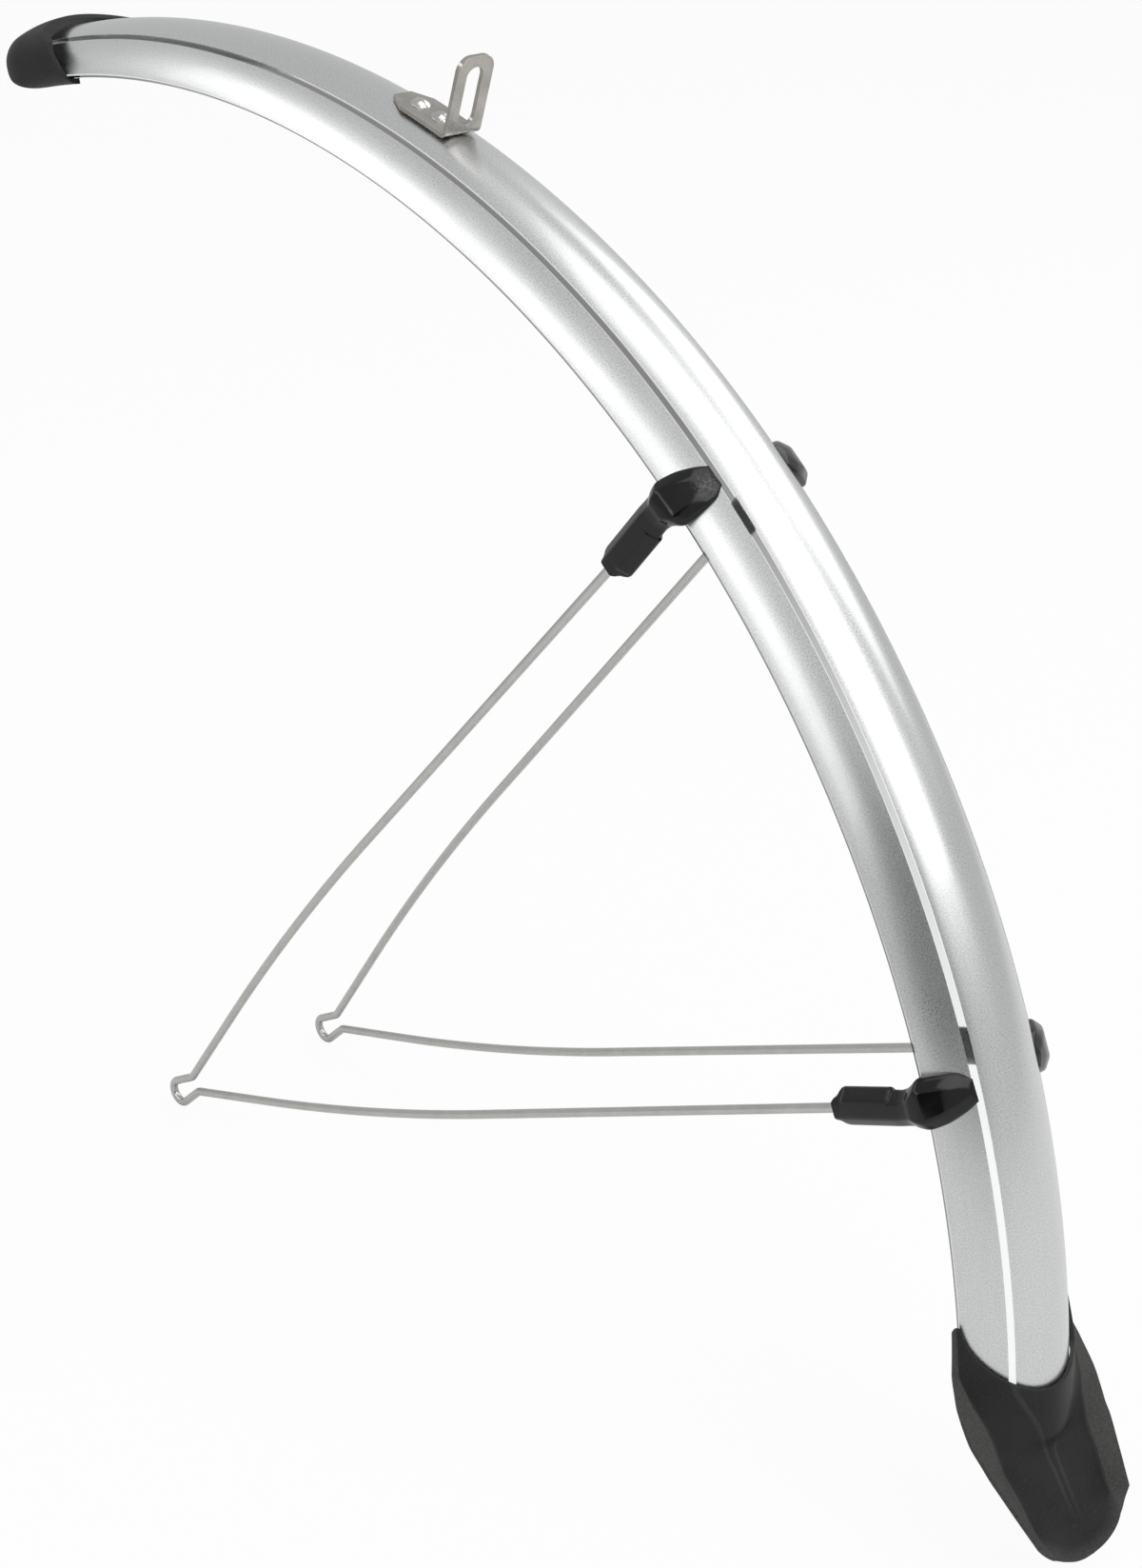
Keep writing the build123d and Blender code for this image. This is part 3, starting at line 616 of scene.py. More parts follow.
@dataclass(frozen=True)
class BladeForm:
    """Section of the blade: crown and flanks are arcs that meet at the clear lines."""

    crown_radius: float = 362.0
    width: float = 45.0
    crown_bend: float = 20.3
    flank_bend: float = 41.4
    line_offset: float = 12.9
    line_width: float = 2.2
    edge_margin: float = 0.7
    foil: float = 0.2
    seat: float = 0.25
    skin: float = 1.45
    bare: float = 0.03
    front: float = 104.0
    rear: float = 2.4
    tail_top: float = 34.5
    tail_depth: float = 20.0
    tail_half: float = 23.2

    @property
    def line_angle(self) -> float:
        """Angle of the section at the clear line."""
        return asin(self.line_offset / self.crown_bend)

    @property
    def line_reach(self) -> float:
        """Distance round the section from the middle to the clear line."""
        return self.crown_bend * self.line_angle

    @property
    def flank_centre(self) -> tuple[float, float]:
        """Sideways place and radius of the middle of the right flank's arc."""
        gap, turn = self.crown_bend - self.flank_bend, self.line_angle
        return gap * sin(turn), self.crown_radius - self.crown_bend + gap * cos(turn)

    @property
    def edge_angle(self) -> float:
        """Angle of the section at the edge."""
        return asin((self.width / 2 - self.flank_centre[0]) / self.flank_bend)

    @property
    def edge_reach(self) -> float:
        """Distance round the section from the middle to the edge."""
        return self.line_reach + self.flank_bend * (self.edge_angle - self.line_angle)

    @property
    def edge_radius(self) -> float:
        """Distance of the edge from the axle."""
        return self.flank_centre[1] + self.flank_bend * cos(self.edge_angle)

    def section(self, reach: Array, depth: Array) -> tuple[Array, Array]:
        """Section points: an arc of the crown, then an arc of the flank, at a depth under the face.

        Args:
            reach: signed distance round the outer face from the middle.
            depth: depth under the outer face.

        Returns:
            Sideways places and radii.
        """
        away = np.abs(reach)
        crown = away <= self.line_reach
        turn = np.where(crown, away / self.crown_bend,
                        self.line_angle + (away - self.line_reach) / self.flank_bend)
        bend = np.where(crown, self.crown_bend, self.flank_bend) - depth
        side = np.where(crown, 0.0, self.flank_centre[0]) + bend * np.sin(turn)
        middle = np.where(crown, self.crown_radius - self.crown_bend, self.flank_centre[1])
        return np.sign(reach) * side, middle + bend * np.cos(turn)

    def half_width(self, radius: Array, depth: float = 0.0) -> Array:
        """Half width of the flank at a radius."""
        bend, (side, middle) = self.flank_bend - depth, self.flank_centre
        return side + bend * np.sin(np.arccos((radius - middle) / bend))

    def start(self, side: Array, radius: Array) -> Array:
        """Angle of the tail: a half ellipse across the blade, seen from the rear.

        Args:
            side: sideways places.
            radius: their radii.

        Returns:
            Angles in degrees.
        """
        share = np.clip(1 - (side / self.tail_half) ** 2, 0.0, 1.0)
        height = self.tail_top - self.tail_depth * np.sqrt(share)
        return np.maximum(self.rear, np.degrees(np.arcsin(height / radius)))

    def strip(self, reach: Array, outer: Array, inner: float, steps: int) -> Mesh:
        """Wall between two depths, carried round the wheel from its tail to its front end.

        Args:
            reach: rising distances round the section.
            outer: depth of the outer face at each of them.
            inner: depth of the inner face.
            steps: number of rows round the wheel.

        Returns:
            The wall's mesh.
        """
        loop = np.concatenate([reach, reach[::-1]])
        depth = np.concatenate([outer, np.full(len(reach), inner)])
        side, radius = self.section(loop, depth)
        first = self.start(side, radius)
        angle = first + np.linspace(0.0, 1.0, steps)[:, None] * (self.front - first)
        rows = on_wheel(side, radius, angle)
        run = np.radians(angle) * self.crown_radius
        flow = np.stack(np.broadcast_arrays(loop, run, depth), axis=-1)
        mesh = Mesh()
        mesh.add(rows, Ends.STRIP, flow * MM)
        return mesh


@dataclass
class Blade:
    """Clear blade with its three foil strips."""

    form: BladeForm
    steps: int = 220
    gap: float = 0.03

    def half_reach(self) -> tuple[Array, Array]:
        """Distances from the middle to the right edge and the blade's depth there.

        The face lies under the foils, and comes up flush with them along the line and the edge.

        Returns:
            The distances and the depths.
        """
        f, g = self.form, self.gap
        line, stop = f.line_reach, f.edge_reach - f.edge_margin
        low, high = line - f.line_width / 2, line + f.line_width / 2
        parts = [np.linspace(0, low + g / 2, 16), np.linspace(low + g, high - g, 8),
                 np.linspace(high - g / 2, stop + g / 2, 14),
                 np.linspace(stop + g, f.edge_reach, 4)]
        depths = [np.full(len(p), d) for p, d in zip(parts, (f.seat, f.bare, f.seat, f.bare))]
        return np.concatenate(parts), np.concatenate(depths)

    def build(self) -> Pieces:
        """Makes the blade and the foils.

        Returns:
            The pieces by name.
        """
        f = self.form
        reach, depth = self.half_reach()
        reach = np.concatenate([-reach[:0:-1], reach])
        depth = np.concatenate([depth[:0:-1], depth])
        pieces = {"blade": f.strip(reach, depth, f.skin, self.steps).piece("blade_shell")}
        half = f.line_width / 2
        spans = {"foil_crown": (half - f.line_reach, f.line_reach - half, 48),
                 "foil_flank_left": (f.edge_margin - f.edge_reach, -f.line_reach - half, 24),
                 "foil_flank_right": (f.line_reach + half, f.edge_reach - f.edge_margin, 24)}
        for node, (first, last, count) in spans.items():
            across = np.linspace(first, last, count)
            wall = f.strip(across, np.zeros(count), f.foil, self.steps)
            pieces[node] = wall.piece(node + "_strip")
        for node, piece in pieces.items():
            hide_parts(node)
        return pieces


@dataclass(frozen=True)
class ClipStation:
    """Section across a clip: half widths inside and outside the V, top height, fall of the facets."""

    place: float
    inner: float
    outer: float
    top: float
    drop: float = 2.9
    on_blade: bool = False


@dataclass
class StayClip:
    """One left stay clip: a rounded socket for the wire, which runs into a head on the flank.

    Places run from the blade's edge, less than 0 on the socket. A run is the first place, the last
    and the number of sections: the round nose, the socket, its step, the neck and the head. The
    shoulder is the socket's extra half width inside the V, the place where it starts and its length.
    The lip has a reach, a thickness and a half width, a root (place, lower and upper height) and a
    bend (place and height).
    """

    form: BladeForm
    angle: float
    inside: float
    normal: Array
    eyelet: Triple = (-15.3, -34.4, -24.6)
    stand_off: float = 1.5
    stations: tuple[ClipStation, ...] = (
        ClipStation(-32.0, 6.15, 5.35, 3.5), ClipStation(-10.0, 6.15, 5.35, 3.5),
        ClipStation(-9.5, 5.4, 5.35, 3.5), ClipStation(-6.5, 5.3, 5.2, 3.5),
        ClipStation(-3.5, 5.9, 5.1, 3.7), ClipStation(-1.0, 7.2, 5.5, 4.2),
        ClipStation(1.5, 8.9, 6.1, 6.4, 3.2, True), ClipStation(5.0, 8.5, 5.6, 6.2, 3.1, True),
        ClipStation(9.0, 7.6, 3.7, 4.7, 2.35, True), ClipStation(11.4, 5.0, 1.6, 2.5, 1.25, True))
    runs: tuple[tuple[float, float, int], ...] = (
        (-30.9, -27.1, 9), (-26.0, -10.4, 9), (-10.0, -9.5, 4), (-9.0, -0.16, 18), (0.0, 11.4, 30))
    head_start: float = -0.1
    facet: float = 3.1
    rounding: float = 0.9
    half_height: float = 3.5
    heel: float = 2.9
    sunk: float = 3.0
    clearance: float = 0.03
    nose: tuple[float, float] = (-26.17, 5.43)
    nose_flat: float = 2.25
    shoulder: Triple = (0.8, -29.4, 1.2)
    bore: float = 1.6
    bore_ends: tuple[float, float] = (-12.6, -31.35)
    bore_middle: float = -22.1
    slope: float = 0.0284
    lip: Triple = (2.7, 1.9, 5.0)
    lip_root: Triple = (-3.5, -1.75, -1.6)
    lip_bend: tuple[float, float] = (-0.2, -4.95)
    lip_gap: float = 0.06

    @property
    def edge(self) -> Array:
        """Point beside the blade's edge that the frame starts from."""
        side = -self.form.width / 2 - self.stand_off
        return on_wheel(side, self.form.edge_radius, self.angle)

    @property
    def leg(self) -> Array:
        """Step from the eyelet's middle to that point."""
        return self.edge - np.array(self.eyelet)

    def world(self, x: Array, y: Array, z: Array) -> Array:
        """Points from the clip's frame: X along the socket to the rim, Y into the V, Z outwards.

        Args:
            x: places along the socket.
            y: places across it.
            z: heights over the stay's plane.

        Returns:
            Points in the axle frame.
        """
        ahead = unit(self.leg)
        across = self.inside * np.cross(self.normal, ahead)
        x, y, z = (v[..., None] for v in np.broadcast_arrays(x, y, z))
        return self.edge + x * ahead + y * across + z * self.normal

    def flank(self, x: Array, depth: float = 0.0) -> Array:
        """Height of the flank over the stay's plane, past the blade's edge."""
        half = self.form.half_width(self.form.edge_radius + x, depth)
        return half - self.form.width / 2 - self.stand_off

    def seat(self, x: Array, y: Array) -> Array:
        """Height of the flank under each point of the head, found by repeated steps.

        Args:
            x: places along the clip.
            y: places across it.

        Returns:
            Heights over the stay's plane.
        """
        z = self.flank(np.clip(x, 0, None)) + 0 * y
        for _ in range(6):
            spot = self.world(x, y, z)
            radius = np.maximum(np.hypot(spot[..., 0], spot[..., 2]), self.form.edge_radius)
            z = z - (self.form.half_width(radius) + spot[..., 1]) / self.normal[1]
        return z

    def rows(self) -> tuple[Array, Array, Array]:
        """Loops from the socket's end to the head's tip.

        The corners of an eight-sided section are rounded by Bezier curves, the nose is cut by a
        circle in plan, and the head is cut by the flank under it.

        Returns:
            X, Y and Z of the loops in the clip's frame.
        """
        x = np.concatenate([np.linspace(*run) for run in self.runs])
        lift = [self.flank(np.float64(s.place)) if s.on_blade else 0.0 for s in self.stations]
        table = [(s.inner, s.outer, s.top + z, s.drop) for s, z in zip(self.stations, lift)]
        inner, outer, top, drop = smooth_through([s.place for s in self.stations], table, x).T
        facet = np.minimum(self.facet, 0.45 * (inner + outer))
        bottom = np.where(x < self.head_start, -self.half_height,
                          self.flank(np.clip(x, 0, None)) - self.sunk)
        heel = np.minimum(bottom + self.heel, top - drop)
        y = np.stack([inner, inner, inner - facet, facet - outer,
                      -outer, -outer, facet - outer, inner - facet], axis=1)
        z = np.stack([heel, top - drop, top, top, top - drop, heel, bottom, bottom], axis=1)
        corner = np.stack([y, z], axis=-1)
        sides = [np.roll(corner, k, axis=1) - corner for k in (1, -1)]
        long = [np.linalg.norm(v, axis=-1, keepdims=True) for v in sides]
        first, last = (corner + v * np.minimum(self.rounding / n, 0.42) for v, n in zip(sides, long))
        t = np.linspace(0, 1, 5)[:, None]
        first, corner, last = (v[:, :, None] for v in (first, corner, last))
        curve = (1 - t) ** 2 * first + 2 * t * (1 - t) * corner + t * t * last
        y, z = np.moveaxis(curve.reshape(len(x), -1, 2), -1, 0)
        x = x[:, None] + 0 * y
        on_nose, (middle, radius) = x < self.runs[0][1], self.nose
        round_end = np.sqrt(np.maximum(radius ** 2 - (x - middle) ** 2, 0.1))
        half = np.where(on_nose, round_end, np.inf)
        extra, start, length = self.shoulder
        y = np.clip(y, -half, half + extra * np.clip((x - start) / length, 0, 1))
        slant = np.clip((np.abs(y) - self.nose_flat) / self.facet, 0, 1)
        fall = self.half_height - self.heel * slant
        z = np.where(on_nose, np.clip(z, -fall, fall), z)
        seated = np.maximum(z, self.seat(x, y) + self.clearance)
        return x, y, np.where(x > self.head_start, seated, z)

    def mesh(self) -> Mesh:
        """Body with its wire bore, and the lip behind the blade's edge.

        Returns:
            The clip's mesh.
        """
        x, y, z = self.rows()
        full = self.runs[0][2]
        turn = np.arctan2(z[full], y[full])
        places = np.array(self.bore_ends)[:, None]
        shift = self.slope * (places - self.bore_middle)
        ring = (places + 0 * turn, self.bore * np.cos(turn) + shift,
                self.bore * np.sin(turn) + 0 * places)
        mesh = Mesh()
        mesh.add(self.world(*(np.concatenate(pair) for pair in zip(ring, (x, y, z)))), Ends.FILL)
        reach, thick, half = self.lip
        root, under, over = self.lip_root
        bend, low = self.lip_bend
        near, far = self.flank(np.array([0.0, reach]), self.form.skin) - self.lip_gap
        profile = np.array([(root, under), (0.0, low), (reach, far - thick), (reach, far),
                            (0.0, near), (bend, near), (bend, over), (root, over)])
        sides = np.array([[-half], [half]])
        mesh.add(self.world(profile[:, 0], sides, profile[:, 1]), Ends.FILL)
        return mesh


@dataclass
class StayClips:
    """The four stay clips."""

    form: BladeForm
    angles: tuple[tuple[str, float, float], ...] = (("lower", 19.3, 1.0), ("upper", 49.65, -1.0))

    def clips(self) -> dict[str, StayClip]:
        """The two left clips, in the plane of the stay that they hold.

        Returns:
            The clips by name.
        """
        flat = np.array([0.0, -1.0, 0.0])
        clips = {name: StayClip(self.form, angle, side, flat) for name, angle, side in self.angles}
        normal = np.cross(clips["lower"].leg, clips["upper"].leg)
        for clip in clips.values():
            clip.normal = unit(normal)
        return clips

    def build(self) -> Pieces:
        """Makes the left clips and their mirror images.

        Returns:
            The pieces by node name.
        """
        pieces = {}
        for name, clip in self.clips().items():
            for side in ("left", "right"):
                node = f"clip_{name}_{side}"
                pieces[node] = clip.mesh().piece(node + "_body", side == "right")
                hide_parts(node)
        return pieces


@dataclass
class Stays:
    """The two wire stays: down one leg, round an open eyelet and up the other leg.

    The bow is its place as a share of the leg, its height and its radius. The fillet is the share
    of the loop's radius that rounds each corner of the eyelet.
    """

    lower: StayClip
    upper: StayClip
    wire: float = 2.98
    bore: float = 5.5
    neck: float = 12.0
    neck_radius: float = 4.0
    loop_fillet: float = 0.97
    bow: Triple = (0.31, 7.7, 1150.0)
    socket: float = 31.6
    depth: float = 19.0
    steps: int = 24
    sides: int = 24

    @staticmethod
    def polar(radius: float, angle: Array) -> Array:
        """Points in the stay's plane, with angles from the lower leg: (r cos a, r sin a)."""
        return np.stack([radius * np.cos(angle), radius * np.sin(angle)], axis=-1)

    def leg(self, clip: StayClip, angle: float, outside: float) -> Array:
        """End, bow and neck of a leg, which stands off the straight line to its clip.

        Args:
            clip: the clip that holds the leg.
            angle: angle of the straight line.
            outside: 1 if the V's outside lies at a larger angle, otherwise -1.

        Returns:
            Three points in the stay's plane.
        """
        share, height, _ = self.bow
        length = np.linalg.norm(clip.leg)
        aim = self.polar(length - self.socket + self.depth / 2, angle)
        bow = self.polar(share * length, angle) + self.polar(height, angle + outside * pi / 2)
        end = aim + unit(aim - bow) * self.depth / 2
        return np.stack([end, bow, self.polar(self.neck, angle)])

    def path(self) -> Array:
        """Middle line: straight pieces joined by an arc of its own radius at each corner.

        Returns:
            Points in the stay's plane.
        """
        legs = [unit(clip.leg) for clip in (self.lower, self.upper)]
        spread = np.arccos(legs[0] @ legs[1])
        loop = (self.bore + self.wire) / 2
        first = spread / 2 + np.arccos(loop / self.neck)
        part = (pi - first) / 3
        eye = self.polar(loop / np.cos(part), spread / 2 + first + part * np.array([1, 3, 5]))
        points = np.concatenate([self.leg(self.upper, spread, 1.0), eye,
                                 self.leg(self.lower, 0.0, -1.0)[::-1]])
        inner = [self.neck_radius, *[loop * self.loop_fillet] * 3, self.neck_radius]
        radius = np.array([self.bow[2], *inner, self.bow[2]])[:, None]
        corner = points[1:-1]
        back, ahead = unit(points[:-2] - corner), unit(points[2:] - corner)
        half = np.arccos(np.sum(back * ahead, axis=-1, keepdims=True)) / 2
        centre = corner + unit(back + ahead) * radius / np.sin(half)
        start, stop = (corner + v * radius / np.tan(half) - centre for v in (back, ahead))
        turn, share = (pi - 2 * half)[:, None], np.linspace(0, 1, self.steps)[None, :, None]
        arcs = np.sin((1 - share) * turn) * start[:, None] + np.sin(share * turn) * stop[:, None]
        arcs = centre[:, None] + arcs / np.sin(turn)
        return np.concatenate([points[:1], arcs.reshape(-1, 2), points[-1:]])

    def mesh(self) -> Mesh:
        """Round tube along the middle line: a circle square to the line at each of its points.

        Returns:
            The left stay's mesh.
        """
        normal = self.lower.normal
        ahead = unit(self.lower.leg)
        plane = np.stack([ahead, np.cross(normal, ahead)])
        line = np.array(self.lower.eyelet) + self.path() @ plane
        side = np.cross(normal, unit(np.gradient(line, axis=0)))
        turn = np.linspace(0, 2 * pi, self.sides, endpoint=False)[:, None]
        out, up = self.wire / 2 * np.cos(turn), self.wire / 2 * np.sin(turn)
        run = np.cumsum(np.linalg.norm(np.diff(line, axis=0, prepend=line[:1]), axis=-1))
        flow = np.stack(np.broadcast_arrays(run[:, None], out[:, 0], up[:, 0]), axis=-1)
        mesh = Mesh()
        mesh.add(line[:, None] + out * side[:, None] + up * normal, Ends.FILL, flow * MM)
        return mesh

    def build(self) -> Pieces:
        """Makes the left stay and its mirror image.

        Returns:
            The pieces by node name.
        """
        pieces = {}
        for side in ("left", "right"):
            node = f"stay_{side}"
            pieces[node] = self.mesh().piece(node + "_wire", side == "right")
            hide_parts(node)
        return pieces


@dataclass(frozen=True)
class FlapStation:
    """Section of the flap at one angle, with its corners as sideways places and radii."""

    angle: float
    crown: float
    crease: tuple[float, float]
    fold: tuple[float, float]
    edge: tuple[float, float]
    bulge: float = 0.0

    def values(self) -> tuple[float, ...]:
        """All sizes but the angle, in one row."""
        return (self.crown, *self.crease, *self.fold, *self.edge, self.bulge)


@dataclass
class Flap:
    """Black flap over the blade's tail: a pad round the blade, a sunk panel and two side flanges.

    The rim and the bottom are half ellipses: height, depth and half width. The upper and the lower
    end are sought from first guesses of their angles.
    """

    form: BladeForm
    stations: tuple[FlapStation, ...] = (
        FlapStation(-3.3, 381.0, (0.6, 380.9), (13.9, 382.0), (17.3, 382.8)),
        FlapStation(-2.4, 377.2, (0.6, 377.1), (14.7, 378.2), (18.7, 381.0)),
        FlapStation(-1.7, 373.2, (0.6, 373.1), (16.0, 371.8), (20.0, 377.2)),
        FlapStation(0.0, 365.5, (0.6, 365.4), (17.5, 364.3), (23.5, 368.6)),
        FlapStation(1.1, 361.9, (1.5, 361.7), (18.6, 359.4), (25.5, 363.4)),
        FlapStation(1.5, 362.4, (2.9, 362.0), (18.9, 358.6), (26.1, 361.2)),
        FlapStation(2.0, 363.5, (4.6, 362.9), (19.2, 357.4), (26.8, 359.1)),
        FlapStation(3.0, 363.65, (7.4, 362.35), (20.5, 355.6), (28.0, 354.7), 0.15),
        FlapStation(4.3, 363.65, (11.8, 360.2), (22.6, 351.4), (27.4, 350.0), 0.5),
        FlapStation(4.9, 363.65, (13.4, 359.0), (23.3, 349.5), (26.6, 348.3), 0.8),
        FlapStation(5.9, 363.65, (13.95, 358.65), (23.95, 347.1), (25.5, 346.4), 1.0),
        FlapStation(9.6, 363.65, (13.95, 358.65), (23.95, 346.8), (24.5, 345.6), 1.0))
    gap: float = 1.65
    wall: float = 1.3
    rows: int = 110
    rim: Triple = (49.0, 20.0, 23.2)
    side_top: float = 49.6
    corner: float = 1.5
    bottom: Triple = (-20.6, 28.6, 26.0)
    guesses: tuple[float, float] = (5.0, -2.5)
    tries: int = 24
    smoothing: int = 3
    bevel: float = 0.25

    def across(self) -> Array:
        """Signed places across: up to 1 on the pad, 2 on the panel and 3 on the flange.

        Returns:
            The places, from left to right.
        """
        ease = 1 - (1 - np.linspace(0, 1, 26)) ** 2
        half = np.concatenate([np.linspace(0, 1, 14)[:-1], 1 + ease[:-1], np.linspace(2, 3, 12)])
        return np.concatenate([-half[:0:-1], half])

    def hump(self) -> Array:
        """How far the blade's flank stands over its chord.

        Returns:
            The sideways and the radial step.
        """
        f = self.form
        reach = np.array([f.line_reach, (f.line_reach + f.edge_reach) / 2, f.edge_reach])
        first, middle, last = np.stack(f.section(reach, np.full(3, -self.gap)), axis=-1)
        return middle - (first + last) / 2

    def section(self, place: Array, angle: Array) -> tuple[Array, Array]:
        """Outer face: a parabola over the pad, then straight sides with the flank's hump.

        Args:
            place: signed places across.
            angle: angles round the wheel, of the same shape.

        Returns:
            Sideways places and radii.
        """
        knots = np.array([s.angle for s in self.stations])
        table = np.array([s.values() for s in self.stations])
        sizes = smooth_through(knots, table, angle.ravel()).reshape(*angle.shape, -1)
        crown, cy, cr, fy, fr, ey, er, bulge = np.moveaxis(sizes, -1, 0)
        pad, panel, flange = (np.clip(np.abs(place) - k, 0, 1) for k in range(3))
        rise = 4 * panel * (1 - panel) * bulge
        side = cy * pad + (fy - cy) * panel + (ey - fy) * flange + rise * self.hump()[0]
        radius = crown + (cr - crown) * pad ** 2 + (fr - cr) * panel + (er - fr) * flange
        return np.sign(place) * side, radius + rise * self.hump()[1]

    def rim_height(self, side: Array, place: Array) -> Array:
        """Height of the upper end: a half ellipse between the side walls' rounded tops.

        Args:
            side: sideways places.
            place: signed places across.

        Returns:
            Heights over the axle.
        """
        top, depth, half = self.rim
        scoop = top - depth * np.sqrt(np.clip(1 - (side / half) ** 2, 0, 1))
        wall = self.side_top - self.corner * np.clip(np.abs(place) - 2, 0, 1) ** 2
        return np.where(np.abs(side) < half, scoop, wall)

    def bottom_height(self, side: Array, place: Array) -> Array:
        """Height of the lower end: a half ellipse, whatever the place."""
        low, depth, half = self.bottom
        return low + depth * (1 - np.sqrt(np.clip(1 - (side / half) ** 2, 0, 1))) + 0 * place

    def stop(self, place: Array, first: float, height: Callable[[Array, Array], Array]) -> Array:
        """Angle at which the face meets an end, found by repeated steps.

        Args:
            place: signed places across.
            first: first guess of the angle.
            height: the end's height at sideways places and places across.

        Returns:
            Angles in degrees.
        """
        angle = np.full(place.shape, first)
        for _ in range(self.tries):
            side, radius = self.section(place, angle)
            angle = np.degrees(np.arcsin(height(side, place) / radius))
        return angle

    def build(self) -> bpy.types.Object:
        """Makes the flap: its face between two ends, smoothed across, and a wall under it.

        Returns:
            The piece.
        """
        place = self.across()
        ends = (self.rim_height, self.bottom_height)
        top, low = (self.stop(place, *end) for end in zip(self.guesses, ends))
        share = np.linspace(0, 1, self.rows)[:, None]
        angle = top + share * (low - top)
        side, radius = self.section(np.broadcast_to(place, angle.shape), angle)
        outer = on_wheel(side, radius, angle)
        for _ in range(self.smoothing):
            outer[:, 1:-1] = (outer[:, :-2] + 2 * outer[:, 1:-1] + outer[:, 2:]) / 4
        normal = unit(np.cross(np.gradient(outer, axis=0), np.gradient(outer, axis=1)))
        mesh = Mesh()
        flow = np.stack(np.broadcast_arrays(place, share, 0.0), axis=-1)
        inner = outer - self.wall * normal
        mesh.add(np.concatenate([outer, inner[:, ::-1]], axis=1), Ends.STRIP,
                 np.concatenate([flow, flow[:, ::-1]], axis=1))
        piece = mesh.piece("mud_flap_shell", bevel=self.bevel)
        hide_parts("mud_flap")
        return piece


@dataclass(frozen=True)
class Softbox:
    """Large soft lamp that faces the object.

    It has a direction and a distance from the object, a width and a height, a level of its face,
    where 1 is white, and a roll of its face in degrees.
    """

    name: str
    toward: Triple
    away: float
    size: tuple[float, float]
    level: float
    roll: float = 0.0

    def build(self, target: Vector) -> None:
        """Makes the lamp.

        Args:
            target: the place that it faces.
        """
        data = bpy.data.lights.new(self.name, "AREA")
        data.shape, data.size, data.size_y = "RECTANGLE", *self.size
        data.energy = self.level * pi * self.size[0] * self.size[1]
        obj = link(self.name, data)
        way = Vector(self.toward).normalized()
        obj.location = target + way * self.away
        turn = way.to_track_quat("Z", "Y") @ Quaternion((0.0, 0.0, 1.0), radians(self.roll))
        obj.rotation_euler = turn.to_euler()


